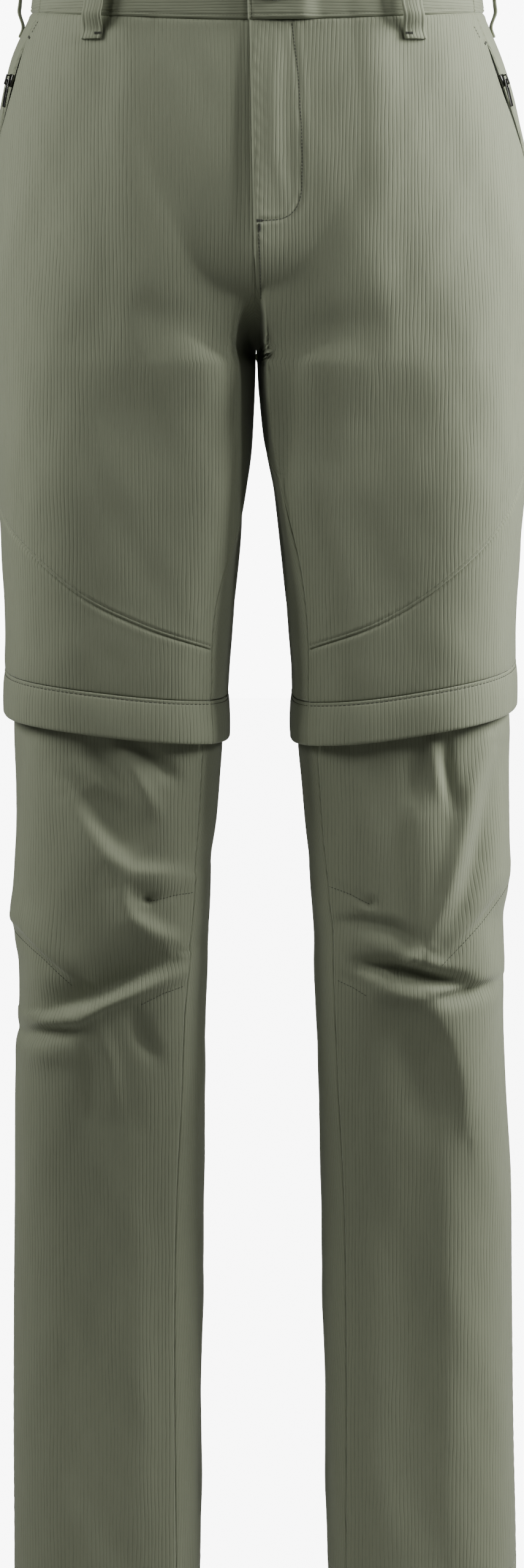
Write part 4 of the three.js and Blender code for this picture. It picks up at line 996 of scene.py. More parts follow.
def flap(name, side, start, end):
    line = FLAP_LINE[side][0]
    scale = float(stretch(side, 0.25, line))
    edge = EDGE_GAP / scale
    length = (end - start) * scale
    round_end = np.array([place for place, _ in TURNED]) / length
    shares = np.concatenate([round_end, spaced(length, FLAP_STEP)[1:-1], 1 - round_end[::-1]])
    around = (mix(start + edge, end - edge, shares))[None, :] + np.zeros((len(FLAP_ROWS), 1))
    z = flap_line(side, around)
    points = skin(side, around, z)
    flat = outward(side, around, z - FLAP_FACING_DROP)
    flat[..., 2] = 0
    flat /= np.linalg.norm(flat, axis=-1, keepdims=True)
    down = np.array(FLAP_ROWS)[:, None]
    share = down / FLAP_HEIGHT
    bow = FLAP_START + FLAP_BOW * np.sin(np.pi * mix(FLAP_BOW_FROM, FLAP_BOW_TO, share))
    along = (around - start) * scale
    bow = bow + flap_wave(along, side) * smooth(share, 0.15, 1) + FLAP_PUFF * smooth(share, 0.1, 0.3)
    ends = np.minimum(shares, 1 - shares)[None, :] * length
    soft = -0.55 * (1 - smooth(ends, -0.2, 1.3)) - 0.35 * (1 - smooth(down, 0, 0.9))
    soft = soft - 0.6 * (1 - smooth(FLAP_HEIGHT - down, 0, 1.1))
    groove = -FLAP_STITCH_DEPTH * np.exp(-((down - STITCH_ROW) / FLAP_STITCH_WIDTH) ** 2)
    drop = np.zeros(points.shape)
    drop[..., 2] = -down
    points = points + drop
    outer = points + flat * (bow + soft + groove)[..., None]
    inner = points + flat * (bow - FLAP_WALL)[..., None]
    u = grain_distance(side, "front" if "front" in name else "back", around, z)
    piece = wall_mesh("cloth_" + name, outer, inner, np.stack([u, z - down], -1), side == "right")
    surface = flat + 0 * outer
    size = (float(np.ptp(u)), FLAP_HEIGHT)
    profile = {"top": tuple((row - EDGE_GAP, 0) for row in FLAP_ROWS)}
    PANELS[name] = Panel(piece, outer, surface, profile, size, wall_area(outer))
    finish_cloth(name)


for side in SIGN:
    line = FLAP_LINE[side][0]
    flap(f"flap_front_{side}", side, float(INSEAM[side](line)), float(SIDE_SEAM[side](line)))
    flap(f"flap_back_{side}", side, float(SIDE_SEAM[side](line)), 1 + float(INSEAM[side](line)))

# %% [markdown]
# ### Belt loops and fly shield
# A belt loop is a strip folded to 14 millimetres, sewn down above and below, and free between. The shield
# is the strip of cloth that closes the fly from behind.

# %% Belt loops
LOOP_WIDTH = 14
LOOP_CLOTH = 1.4
LOOP_STAND = 7.2
LOOP_TAIL = 15
LOOP_TOP_INSET = 0.6
LOOP_ACROSS = (-1, -0.96, -0.88, -0.74, -0.66, -0.58, -0.3, 0, 0.3, 0.58, 0.66, 0.74, 0.88, 0.96, 1)
LOOP_FOLD = 0.66
LOOP_OFF_BAND = 0.3
LOOP_CLEAR = 0.9
LOOP_GROOVE = (0.3, 0.06)
PLACE_HALVINGS = 30
LOOP_FOLDED_ENDS = 6
Loop = namedtuple("Loop", "node side x around")
LOOPS = [
    Loop("belt_loop_front_right", "right", -99.5, None),
    Loop("belt_loop_front_left", "left", 89, None),
    Loop("belt_loop_side_right", "right", None, 0.52),
    Loop("belt_loop_side_left", "left", None, 0.52),
    Loop("belt_loop_back", "left", None, 1.0),
]


def place_at_x(side, x, z, low=0.0, high=0.5):
    """The place around where the skin is at a given x, found by halving."""
    for _ in range(PLACE_HALVINGS):
        place = (low + high) / 2
        if abs(float(skin(side, place, z)[0])) < abs(x):
            low = place
        else:
            high = place
    return place


def belt_loop(loop):
    side = loop.side
    place = loop.around if loop.around is not None else place_at_x(side, loop.x, BAND_MIDDLE_Z)
    half = LOOP_WIDTH / 2 / float(stretch(side, min(place, 0.98), BAND_MIDDLE_Z))
    facing = outward(side, place, BAND_MIDDLE_Z)
    head = float(waist_top(place)) - LOOP_TOP_INSET
    foot = float(waist_seam(place)) - LOOP_TAIL
    share = np.concatenate([[0, 0.006, 0.015], np.linspace(0.03, 0.97, 30), [0.985, 0.994, 1]])[:, None]
    across = np.array(LOOP_ACROSS)[None, :]
    around = place + across * half + 0 * share
    z = mix(head, foot, share) + 0 * across
    rise = LOOP_STAND * smooth(share, 0.05, 0.3) * (1 - smooth(share, 0.68, 0.93))
    base = skin(side, around, z) + outward(side, around, z) * LOOP_OFF_BAND
    ends = np.minimum(share, 1 - share) * (head - foot)
    round_edge = -0.55 * (np.abs(across) ** 14) - 0.5 * (1 - smooth(ends, -0.2, 1.0))
    groove_depth, groove_width = LOOP_GROOVE
    groove = -groove_depth * np.exp(-((np.abs(across) - LOOP_FOLD) / groove_width) ** 2)
    belly = 0.25 * (1 - across ** 2) + 0.12 * np.sin(share * 21 + across * 2)
    body_clear = LOOP_CLEAR * smooth(share, 0.02, 0.1)
    outer = base + facing * (rise + LOOP_CLOTH + round_edge + groove + belly + body_clear)[..., None]
    inner = base + facing * (rise + body_clear * (1 - smooth(share, 0.9, 1)))[..., None]
    width = across * LOOP_WIDTH / 2 + 0 * share
    piece = wall_mesh("cloth_" + loop.node, outer, inner, np.stack([width, z], -1), side == "right")
    profile = {"left": (), "right": (), "top": ()}
    size = (LOOP_WIDTH, head - foot + LOOP_FOLDED_ENDS)
    PANELS[loop.node] = Panel(piece, outer, facing + 0 * outer, profile, size, wall_area(outer))
    finish_cloth(loop.node)


for loop in LOOPS:
    belt_loop(loop)

# %% Fly shield
SHIELD_WIDTH = 34
SHIELD_UNDERLAP = 9
SHIELD_BOTTOM_Z = -184
SHIELD_BACK = -2.8
shield_scale = float(stretch("left", 0.02, (WAIST_SEAM["front"] + SHIELD_BOTTOM_Z) / 2))


def shield_form(side, around, z, base):
    return SHIELD_BACK + 0 * z


def below_band(around):
    return waist_seam(around) - 1


cloth_panel("fly_shield", "left", fixed(-SHIELD_UNDERLAP / shield_scale), fixed(SHIELD_WIDTH / shield_scale),
            below_band, fixed(SHIELD_BOTTOM_Z), (FREE, FREE, FREE, FREE), raised=shield_form, creased=False)
finish_cloth("fly_shield")

# %% [markdown]
# ## Zips
# A coil zip is woven tape with two rows of moulded loops that lock in the middle. From a step away the
# loops show as a fine ladder, so each one is a small bead, made once and repeated along the zip.

# %% Beads along a line
def unit(vectors):
    """Vectors of length one, with those of no length left as they are."""
    return vectors / np.maximum(np.linalg.norm(vectors, axis=-1, keepdims=True), 1e-9)


def resample(points, normals, pitch, start=0.0, end=0.0):
    """Evenly spaced centres, directions and normals along a line of points."""
    steps = np.linalg.norm(np.diff(points, axis=0), axis=1)
    lengths = np.concatenate([[0], np.cumsum(steps)])
    count = max(1, int((lengths[-1] - start - end) / pitch))
    at = start + (lengths[-1] - start - end - count * pitch) / 2 + pitch * (np.arange(count) + 0.5)

    def read(rows, places):
        return np.stack([np.interp(places, lengths, rows[:, k]) for k in range(3)], -1)

    along = unit(read(points, at + pitch / 3) - read(points, at - pitch / 3))
    across = unit(np.cross(read(normals, at), along))
    return read(points, at), along, across, np.cross(along, across)


BEAD_RINGS = ((-1, 0.3), (-0.72, 0.85), (0, 1), (0.72, 0.85), (1, 0.3))
BEAD_SIDES = 6


def bead_mesh(name, centre, along, across, up, size):
    """Joins one rounded bead per centre. size is the half length, half width and half height."""
    long, wide, tall = size
    angles = np.arange(BEAD_SIDES) * 2 * np.pi / BEAD_SIDES
    shape = np.array([(place * long, r * wide * math.cos(a), r * tall * math.sin(a))
                      for place, r in BEAD_RINGS for a in angles])
    points = (centre[:, None] + along[:, None] * shape[None, :, :1] + across[:, None] * shape[None, :, 1:2]
              + up[:, None] * shape[None, :, 2:])
    rings = np.arange(len(BEAD_RINGS) * BEAD_SIDES).reshape(-1, BEAD_SIDES).tolist()
    quads = []
    for here, after in zip(rings, rings[1:]):
        for s in range(BEAD_SIDES):
            t = (s + 1) % BEAD_SIDES
            quads.append([here[s], here[t], after[t], after[s]])
    for ring, flip in ((rings[0], False), (rings[-1], True)):
        halves = [[ring[3], ring[2], ring[1], ring[0]], [ring[5], ring[4], ring[3], ring[0]]]
        quads += [half[::-1] if flip else half for half in halves]
    quads = np.array(quads)
    offsets = np.arange(len(centre))[:, None, None] * len(shape)
    faces = (quads[None] + offsets).reshape(-1, 4)
    return make_mesh(name, points.reshape(-1, 3), faces)


# %% Leg zips
ZIP_TAPE = 1.1
ZIP_TUCK = 3
ZIP_BACK = -2.15
COIL_PITCH = 1.5
ZIP_ROWS = (0, 0.33, 0.43, 0.46, 0.5, 0.54, 0.57, 0.67, 1)
ZIP_HEIGHTS = (0, 0, 0, 0.55, 0.8, 0.55, 0, 0, 0)
ZIP_COLUMNS = 160
LEG_BEAD = (0.42, 1.6, 0.55)
ZIP_PIECES = []
for side in SIGN:
    around = np.linspace(0, 1, ZIP_COLUMNS + 1)[None, :-1] + np.zeros((len(ZIP_ROWS), 1))
    height = ZIP_GAP + 2 * ZIP_TUCK
    z = flap_line(side, around) + ZIP_TUCK - height * np.array(ZIP_ROWS)[:, None]
    base, normal = skin(side, around, z), outward(side, around, z)
    outer = base + normal * (np.array(ZIP_HEIGHTS)[:, None, None] + ZIP_BACK)
    inner = base + normal * (ZIP_BACK - ZIP_TAPE)
    u = grain_distance(side, "front", around, z)
    tape = wall_mesh(f"tape_leg_zip_{side}", outer, inner, np.stack([u, z], -1), side == "right", ring=True)
    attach(tape, "garment")
    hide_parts(f"leg_zip_{side}")
    middle = len(ZIP_ROWS) // 2
    closed = [np.concatenate([grid[middle], grid[middle][:1]]) for grid in (outer, normal)]
    beads = resample(*closed, COIL_PITCH)
    coil = bead_mesh(f"coil_leg_zip_{side}", *beads, LEG_BEAD)
    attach(coil, "garment")
    ZIP_PIECES += [tape, coil]

# %% Pocket zips
POCKET_TAPE = 18
POCKET_TAPE_OVER = 5
POCKET_COIL = 1.2
POCKET_BACK = -2.9
TAPE_ACROSS = (-1, -0.3, -0.22, -0.12, 0, 0.12, 0.22, 0.3, 1)
TAPE_HEIGHTS = (0, 0, 0.5, 0.9, 1.0, 0.9, 0.5, 0, 0)
POCKET_PITCH = 1.15
POCKET_BEAD = (0.36, 1.9, 0.75)
COIL_SHOWS = 2.6
TAPE_ROWS = 64
for side in SIGN:
    z = np.linspace(POCKET_TOP_Z + POCKET_TAPE_OVER, POCKET_BOTTOM_Z - POCKET_TAPE_OVER, TAPE_ROWS)[:, None]
    place = SIDE_SEAM[side](z)
    scale = stretch(side, place, z)
    around = place + np.array(TAPE_ACROSS)[None, :] * POCKET_TAPE / 2 / scale
    z = z + 0 * around
    base, normal = skin(side, around, z), outward(side, around, z)
    coil_height = POCKET_COIL * smooth(pocket_half(z), 2, 3.6)
    outer = base + normal * (POCKET_BACK + coil_height * np.array(TAPE_HEIGHTS)[None, :])[..., None]
    inner = base + normal * (POCKET_BACK - ZIP_TAPE)
    u = grain_distance(side, "front", around, z)
    tape = wall_mesh(f"tape_pocket_zip_{side}", outer, inner, np.stack([u, z], -1), side == "right")
    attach(tape, "garment")
    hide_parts(f"pocket_zip_{side}")
    middle = len(TAPE_ACROSS) // 2
    open_rows = pocket_half(z[:, middle]) > COIL_SHOWS
    beads = resample(outer[open_rows, middle], normal[open_rows, middle], POCKET_PITCH)
    coil = bead_mesh(f"coil_pocket_zip_{side}", *beads, POCKET_BEAD)
    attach(coil, "garment")
    ZIP_PIECES += [tape, coil]

# %% [markdown]
# ## Thread
# A seam shows as short dashes of thread that sink into the cloth. Each stitch is one small bead, laid on
# the grid line of the groove that its panel already has. A bar tack is a row of stitches side by side.

# %% Stitches
STITCH_PITCH = 3.0
STITCH_SIZE = (1.05, 0.27, 0.22)
BAND_STITCH = {"pitch": 2.2, "size": (0.75, 0.27, 0.22)}
FLY_STITCH = {"pitch": 2.2, "size": (0.8, 0.27, 0.25)}
DART_STITCH = {"pitch": 2.2, "size": (0.7, 0.22, 0.2)}
TACK_PITCH = 0.55
TACK_LIFT = 0.15
TACK_THREAD = (0.24, 0.3)
THREAD_PARTS = []


def grid_line(panel, edge, distance):
    """Points and normals of the grid line at a distance from one edge of a panel."""
    places = [pair[0] for pair in panel.profile[edge]]
    k = int(np.argmin(np.abs(np.array(places) - distance)))
    pick = {"top": (k, slice(None)), "bottom": (-1 - k, slice(None)),
            "left": (slice(None), k), "right": (slice(None), -1 - k)}[edge]
    return panel.points[pick], panel.normals[pick]


def stitch(points, normals, lift=0.12, pitch=STITCH_PITCH, size=STITCH_SIZE, start=0.0, end=0.0):
    centre, along, across, up = resample(points, normals, pitch, start, end)
    THREAD_PARTS.append((centre + up * lift, along, across, up, size))


def stitch_edge(node, edge, distance=STITCH_ROW, **options):
    points, normals = grid_line(PANELS[node], edge, distance)
    stitch(points, normals, **options)


def on_cloth(node, line):
    """Points and normals of a panel where a line of (x, z) pairs meets it in front view."""
    piece = PANELS[node].piece
    points, normals = [], []
    for x, z in line:
        hit, place, normal, _ = piece.ray_cast(Vector((x * MM, -1, z * MM)), Vector((0, 1, 0)))
        if hit:
            points.append(np.array(place) / MM)
            normals.append(np.array(normal))
    return np.array(points), np.array(normals)


def between(points, count=40):
    """A line through a few (x, z) pairs, in even small steps."""
    points = np.array(points, float)
    lengths = np.concatenate([[0], np.cumsum(np.hypot(*np.diff(points, axis=0).T))])
    at = np.linspace(0, lengths[-1], count)
    return np.stack([np.interp(at, lengths, points[:, k]) for k in range(2)], -1)


def bar_tack(node, start, end, width):
    """Stitches side by side, across a short line."""
    points, normals = on_cloth(node, between((start, end), 12))
    centre, along, across, up = resample(points, normals, TACK_PITCH)
    THREAD_PARTS.append((centre + up * TACK_LIFT, across, along, up, (width / 2, *TACK_THREAD)))


# %% Seams of the panels
SEAM_ROWS = (
    ("front", "bottom", STITCH_ROW), ("front", "right", STITCH_ROW),
    ("flap_front", "top", STITCH_ROW), ("flap_back", "top", STITCH_ROW),
    ("shin_front", "bottom", HEM_ROW), ("shin_back", "bottom", HEM_ROW),
)
for side in SIGN:
    for panel, edge, distance in SEAM_ROWS:
        stitch_edge(f"{panel}_{side}", edge, distance)
for node in BANDS:
    stitch_edge(node, "bottom", **BAND_STITCH)
    stitch_edge(node, "top", **BAND_STITCH)
stitch_edge("waistband_left", "left", **BAND_STITCH)
print("rows of stitches:", len(THREAD_PARTS))

# %% Fly, darts and tacks
CENTRE_SEAM = ((-2.2, -176), (-1.2, -200), (-0.6, -222))
stitch(*on_cloth("front_left", between(fly_stitch_line(), 160)), **FLY_STITCH)
stitch(*on_cloth("front_left", between(CENTRE_SEAM)), pitch=2.4)
bar_tack("front_left", (-3.5, -173.4), (0.5, -173.4), 2.4)
bar_tack("front_left", (-1.5, -180), (-1.5, -175), 1.8)

Dart = namedtuple("Dart", "side points")
DARTS = [Dart(*row) for row in (
    ("right", ((-43, -602), (-56, -603), (-73, -607))),
    ("right", ((-50, -663), (-63, -667), (-79, -675))),
    ("right", ((-162, -631), (-142, -645), (-122, -663))),
    ("left", ((43, -598), (56, -602), (70, -609))),
    ("left", ((48, -659), (58, -663), (68, -669))),
    ("left", ((160, -601), (142, -622), (115, -649))),
)]
for dart in DARTS:
    stitch(*on_cloth(f"shin_front_{dart.side}", between(dart.points)), **DART_STITCH)
POCKET_TACKS = {"right": ((-149.9, -53.7), (-147.2, -57.6)), "left": ((141.4, -61.4), (143.3, -56.8))}
POCKET_ENDS = {"right": ((-141.4, -46.1), (-146.3, -54.6)), "left": ((134, -49.9), (138.2, -57.7))}
for side in SIGN:
    bar_tack(f"front_{side}", *POCKET_TACKS[side], 1.6)
    stitch(*on_cloth(f"front_{side}", between(POCKET_ENDS[side])), **DART_STITCH)
LOOP_TACK_DROP = 12.6
LOOP_TACK_HALF = 5.6
for loop in LOOPS[:2]:
    z = float(waist_seam(0.25)) - LOOP_TACK_DROP
    bar_tack(loop.node, (loop.x - LOOP_TACK_HALF, z), (loop.x + LOOP_TACK_HALF, z), 1.7)
print("thread parts", len(THREAD_PARTS), "stitches", sum(len(part[0]) for part in THREAD_PARTS))

# %% One piece of thread
def join_pieces(name, parts):
    bpy.ops.object.select_all(action="DESELECT")
    for part in parts:
        part.select_set(True)
    bpy.context.view_layer.objects.active = parts[0]
    bpy.ops.object.join()
    joined = bpy.context.active_object
    joined.name = name
    return joined


thread = join_pieces("thread", [bead_mesh(f"part_{i}", *part) for i, part in enumerate(THREAD_PARTS)])
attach(thread, "garment")
bpy.ops.object.select_all(action="DESELECT")
print("thread faces", len(thread.data.polygons))

# %% [markdown]
# ## Metal
# Slider, pull and button are small castings. They are modelled as by hand: a primitive at its size, holes
# made by inset and bridge, and all edges rounded by a bevel. Slider and pull find their place on the zip.

# %% Tools for small castings
def start_box(name, size, centre):
    bpy.ops.object.select_all(action="DESELECT")
    bpy.ops.mesh.primitive_cube_add(size=1)
    box = bpy.context.active_object
    box.name = name
    box.scale = [side * MM for side in size]
    box.location = [place * MM for place in centre]
    bpy.ops.object.transform_apply(location=True, rotation=True, scale=True)
    return box


def pick_faces(piece, wanted):
    """Selects, in edit mode, the faces whose centre (mm) and normal a test accepts."""
    bpy.ops.object.mode_set(mode="OBJECT")
    for polygon in piece.data.polygons:
        polygon.select = bool(wanted(polygon.center / MM, polygon.normal))
    for edge in piece.data.edges:
        edge.select = False
    for vertex in piece.data.vertices:
        vertex.select = False
    bpy.ops.object.mode_set(mode="EDIT")
    bpy.ops.mesh.select_mode(type="FACE")


def pierce(piece, wanted, thickness):
    """Makes a hole between two opposite faces: both are inset, deleted and bridged."""
    pick_faces(piece, wanted)
    bpy.ops.mesh.inset(thickness=thickness * MM, use_individual=True)
    bpy.ops.mesh.delete(type="FACE")
    bpy.ops.mesh.select_mode(type="EDGE")
    bpy.ops.mesh.select_non_manifold()
    bpy.ops.mesh.bridge_edge_loops()
    bpy.ops.object.mode_set(mode="OBJECT")


def soften(piece, width, segments=3):
    bevel = piece.modifiers.new("bevel", "BEVEL")
    bevel.width = width * MM
    bevel.segments = segments
    bevel.limit_method = "ANGLE"
    bpy.context.view_layer.objects.active = piece
    piece.select_set(True)
    bpy.ops.object.modifier_apply(modifier="bevel")
    bpy.ops.object.shade_smooth_by_angle(angle=math.radians(40))


# %% Place of the sliders
SLIDER_Z = -84
SLIDER_LENGTH = 8
SLIDER_WIDTH = 6.4
SLIDER_THICK = 2
SLIDER_EYE = 2.3
SLIDER_POST = 1
BRIDGE_SPAN = 6.8
BRIDGE_WIDTH = 1.6
BRIDGE_SUNK = 1.2
SLIDER_ON_COIL = -0.4
SLIDER_TAPER = 0.72
SLIDER_RIM = 0.9
SLIDER_CROWN = 0.25
SLIDER_BEVEL = 0.55
BRIDGE_BEVEL = 0.4


def slider_frame(side):
    """Matrix of the slider: across the zip, up along it and out of the cloth."""
    above, under = SLIDER_Z + SLIDER_LENGTH / 2, SLIDER_Z - SLIDER_LENGTH / 2
    top = skin(side, SIDE_SEAM[side](above), above)
    bottom = skin(side, SIDE_SEAM[side](under), under)
    up = Vector(top - bottom).normalized()
    place = SIDE_SEAM[side](SLIDER_Z)
    out = Vector(outward(side, place, SLIDER_Z))
    across = up.cross(out).normalized()
    out = across.cross(up).normalized()
    origin = Vector(skin(side, place, SLIDER_Z)) + out * SLIDER_ON_COIL
    turn = Matrix((across, up, out)).transposed().to_4x4()
    return Matrix.Translation(origin * MM) @ turn


def put(piece, matrix):
    piece.data.transform(matrix)
    piece.data.update()


# %% Sliders
def slider(side):
    body = start_box(f"body_{side}", (SLIDER_WIDTH, SLIDER_LENGTH, SLIDER_THICK), (0, 0, SLIDER_THICK / 2))
    pick_faces(body, lambda centre, normal: normal.y < -0.5)
    bpy.ops.transform.resize(value=(SLIDER_TAPER, 1, 1))
    pick_faces(body, lambda centre, normal: normal.z > 0.5)
    bpy.ops.mesh.inset(thickness=SLIDER_RIM * MM)
    bpy.ops.transform.translate(value=(0, 0, SLIDER_CROWN * MM))
    bpy.ops.object.mode_set(mode="OBJECT")
    soften(body, SLIDER_BEVEL)
    height = SLIDER_EYE + SLIDER_POST + BRIDGE_SUNK
    centre_z = SLIDER_THICK - BRIDGE_SUNK + height / 2
    bridge = start_box(f"bridge_{side}", (BRIDGE_WIDTH, BRIDGE_SPAN, height), (0, 0, centre_z))
    pierce(bridge, lambda centre, normal: abs(normal.x) > 0.5, SLIDER_POST)
    soften(bridge, BRIDGE_BEVEL)
    joined = join_pieces(f"metal_pocket_slider_{side}", [body, bridge])
    put(joined, slider_frame(side))
    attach(joined, "garment")
    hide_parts(f"pocket_slider_{side}")
    return joined


# %% [markdown]
# The pull tab hangs in the bridge of the slider. It is its own body, and its mesh keeps the place of the
# imported one: the same frame, turned by the small lean of the hanging tab.

# %% Pull tabs
PULL_LENGTH = 18
PULL_WIDTH = 4.6
PULL_THICK = 1
PULL_BAR = 1
PULL_LEAN = math.radians(6)
PULL_CUTS = (-6.2, -9.6)
PULL_RIM = 0.9
PULL_PINCH = 0.6
PULL_BEVEL = 0.3


def pull(side):
    centre_y = PULL_BAR / 2 - PULL_LENGTH / 2
    tab = start_box(f"metal_pocket_pull_{side}", (PULL_WIDTH, PULL_LENGTH, PULL_THICK), (0, centre_y, 0))
    bpy.ops.object.mode_set(mode="EDIT")
    for cut in PULL_CUTS:
        bpy.ops.mesh.select_all(action="SELECT")
        bpy.ops.mesh.bisect(plane_co=(0, cut * MM, 0), plane_no=(0, 1, 0))
    bpy.ops.object.mode_set(mode="OBJECT")
    hole_end, grip_start = PULL_CUTS
    pierce(tab, lambda centre, normal: abs(normal.z) > 0.5 and centre.y > hole_end, PULL_BAR)
    pick_faces(tab, lambda centre, normal: abs(normal.z) > 0.5 and centre.y < grip_start)
    bpy.ops.mesh.inset(thickness=PULL_RIM * MM, use_individual=True)
    bpy.ops.transform.resize(value=(1, 1, PULL_PINCH))
    bpy.ops.object.mode_set(mode="OBJECT")
    soften(tab, PULL_BEVEL)
    lift = Matrix.Translation((0, 0, (SLIDER_THICK + SLIDER_EYE / 2) * MM))
    put(tab, slider_frame(side) @ lift @ Matrix.Rotation(PULL_LEAN, 4, "X"))
    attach(tab, f"pull_{side}")
    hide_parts(f"pocket_pull_{side}")
    return tab


def print_off(node, piece):
    """Says how far the box of a piece lies off the box of the solid it replaces."""
    corners = np.array(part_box(node))
    points = np.array([vertex.co for vertex in piece.data.vertices])
    off = (np.array([points.min(0), points.max(0)]) - corners) / MM
    print(node, "off by", np.round(off, 2).tolist(), "mm")


METAL_PIECES = []
for side in SIGN:
    METAL_PIECES += [slider(side), pull(side)]
    print_off(f"pocket_slider_{side}", METAL_PIECES[-2])
    print_off(f"pocket_pull_{side}", METAL_PIECES[-1])

# %% [markdown]
# ### Button
# A shank button: a pressed cap with a rolled rim and a shallow dish. It starts as a round disc whose face
# is inset and moved in steps, the way the press draws the metal.

# %% Waist button
BUTTON_RADIUS = 8.7
BUTTON_X = 8.3
BUTTON_Z = -29
BUTTON_HEIGHT = 1.7
BUTTON_LIFT = 3.5
BUTTON_SHANK = 1.2
BUTTON_SHANK_SHARE = 0.6
BUTTON_BEVEL = 0.3
BUTTON_STEPS = (
    (0.7, 0.35), (0.7, 0.1), (0.6, -0.3), (0.7, -0.35),
    (1.2, -0.1), (0.5, 0.25), (0.5, 0.05), (1.5, 0.1),
)
button_place = place_at_x("left", BUTTON_X, BUTTON_Z, 0.02, 0.2)
bpy.ops.object.select_all(action="DESELECT")
bpy.ops.mesh.primitive_cylinder_add(vertices=64, radius=BUTTON_RADIUS * MM, depth=BUTTON_HEIGHT * MM,
                                    location=(0, 0, (BUTTON_SHANK + BUTTON_HEIGHT / 2) * MM))
button = bpy.context.active_object
button.name = "metal_waist_button"
bpy.ops.object.transform_apply(location=True, rotation=True, scale=True)
pick_faces(button, lambda centre, normal: normal.z > 0.5)
for inset, rise in BUTTON_STEPS:
    bpy.ops.mesh.inset(thickness=inset * MM)
    bpy.ops.transform.translate(value=(0, 0, rise * MM))
pick_faces(button, lambda centre, normal: normal.z < -0.5)
bpy.ops.mesh.inset(thickness=BUTTON_RADIUS * BUTTON_SHANK_SHARE * MM)
bpy.ops.mesh.extrude_region_move(TRANSFORM_OT_translate={"value": (0, 0, -BUTTON_SHANK * MM)})
bpy.ops.object.mode_set(mode="OBJECT")
soften(button, BUTTON_BEVEL, 2)
normal = Vector(outward("left", button_place, BUTTON_Z))
origin = Vector(skin("left", button_place, BUTTON_Z)) + normal * BUTTON_LIFT
turn = Vector((0, 0, 1)).rotation_difference(normal).to_matrix().to_4x4()
put(button, Matrix.Translation(origin * MM) @ turn)
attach(button, "garment")
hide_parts("waist_button")
print_off("waist_button", button)

# %% [markdown]
# ## Materials
# The cloth is a fine rib: raised cords two and a half millimetres apart, each a little uneven, with a plain
# weave over them. Its height drives a bump, and its grooves are rougher and painted darker as shade. Both
# kinds of cloth share the group below, each with its own numbers.

# %% Node helpers
def group_tree(name, inputs, outputs):
    tree = bpy.data.node_groups.new(name, "ShaderNodeTree")
    for label, kind, default in inputs:
        socket = tree.interface.new_socket(label, in_out="INPUT", socket_type=kind)
        if default is not None:
            socket.default_value = default
    for label, kind in outputs:
        tree.interface.new_socket(label, in_out="OUTPUT", socket_type=kind)
    start = tree.nodes.new("NodeGroupInput")
    finish = tree.nodes.new("NodeGroupOutput")
    return tree, start, finish


class Graph:
    """A short way to write down a tree of nodes."""

    def __init__(self, tree):
        self.tree = tree

    def node(self, kind, *sources, **settings):
        made = self.tree.nodes.new(kind)
        for key, value in settings.items():
            if hasattr(made, key):
                setattr(made, key, value)
            else:
                made.inputs[key.replace("_", " ").title()].default_value = value
        for i, source in enumerate(sources):
            self.feed(made.inputs[i], source)
        return made

    def feed(self, socket, source):
        if source is None:
            return
        if isinstance(source, (int, float, tuple)):
            socket.default_value = source
        else:
            self.tree.links.new(source, socket)

    def math(self, operation, *sources):
        made = self.tree.nodes.new("ShaderNodeMath")
        made.operation = operation
        for i, source in enumerate(sources):
            self.feed(made.inputs[i], source)
        return made.outputs[0]

    def noise(self, vector, scale, detail=2.0, rough=0.5):
        made = self.tree.nodes.new("ShaderNodeTexNoise")
        made.inputs["Scale"].default_value = scale
        made.inputs["Detail"].default_value = detail
        made.inputs["Roughness"].default_value = rough
        self.feed(made.inputs["Vector"], vector)
        return made.outputs["Fac"]

    def stretched(self, vector, scale):
        made = self.tree.nodes.new("ShaderNodeMapping")
        made.inputs["Scale"].default_value = scale
        self.feed(made.inputs["Vector"], vector)
        return made.outputs[0]

    def span(self, value, low, high, out_low=0.0, out_high=1.0):
        made = self.tree.nodes.new("ShaderNodeMapRange")
        made.interpolation_type = "SMOOTHSTEP"
        self.feed(made.inputs["Value"], value)
        ends = {"From Min": low, "From Max": high, "To Min": out_low, "To Max": out_high}
        for label, number in ends.items():
            made.inputs[label].default_value = number
        return made.outputs[0]

    def blend(self, share, a, b, mode="MIX"):
        made = self.tree.nodes.new("ShaderNodeMix")
        made.data_type = "RGBA"
        made.blend_type = mode
        self.feed(made.inputs["Factor"], share)
        self.feed(made.inputs[6], a)
        self.feed(made.inputs[7], b)
        return made.outputs[2]


# %% Rib group
RIB_PITCH = 0.00245
WEAVE_ACROSS = 0.00062
WEAVE_DOWN = 0.0008
rib_tree, rib_in, rib_out = group_tree(
    "rib weave",
    (("Vector", "NodeSocketVector", None), ("Pitch", "NodeSocketFloat", RIB_PITCH)),
    (("Height", "NodeSocketFloat"), ("Groove", "NodeSocketFloat"), ("Weave", "NodeSocketFloat"),
     ("Cloud", "NodeSocketFloat")),
)
rib = Graph(rib_tree)
place = rib.node("ShaderNodeSeparateXYZ", rib_in.outputs["Vector"])
wander = rib.noise(rib.stretched(rib_in.outputs["Vector"], (60, 14, 1)), 1.0, 2.0)
wander = rib.math("MULTIPLY", rib.math("SUBTRACT", wander, 0.5), 1.6)
turns = rib.math("ADD", rib.math("DIVIDE", place.outputs["X"], rib_in.outputs["Pitch"]), wander)
wave = rib.math("ABSOLUTE", rib.math("SINE", rib.math("MULTIPLY", turns, math.pi)))
broken = rib.noise(rib.stretched(rib_in.outputs["Vector"], (700, 120, 1)), 1.0, 3.0, 0.6)
unevenness = rib.noise(rib.stretched(rib_in.outputs["Vector"], (160, 22, 1)), 1.0, 2.0)
round_rib = rib.math("POWER", wave, 0.55)
groove = rib.span(wave, 0.0, 0.55, 1.0, 0.0)
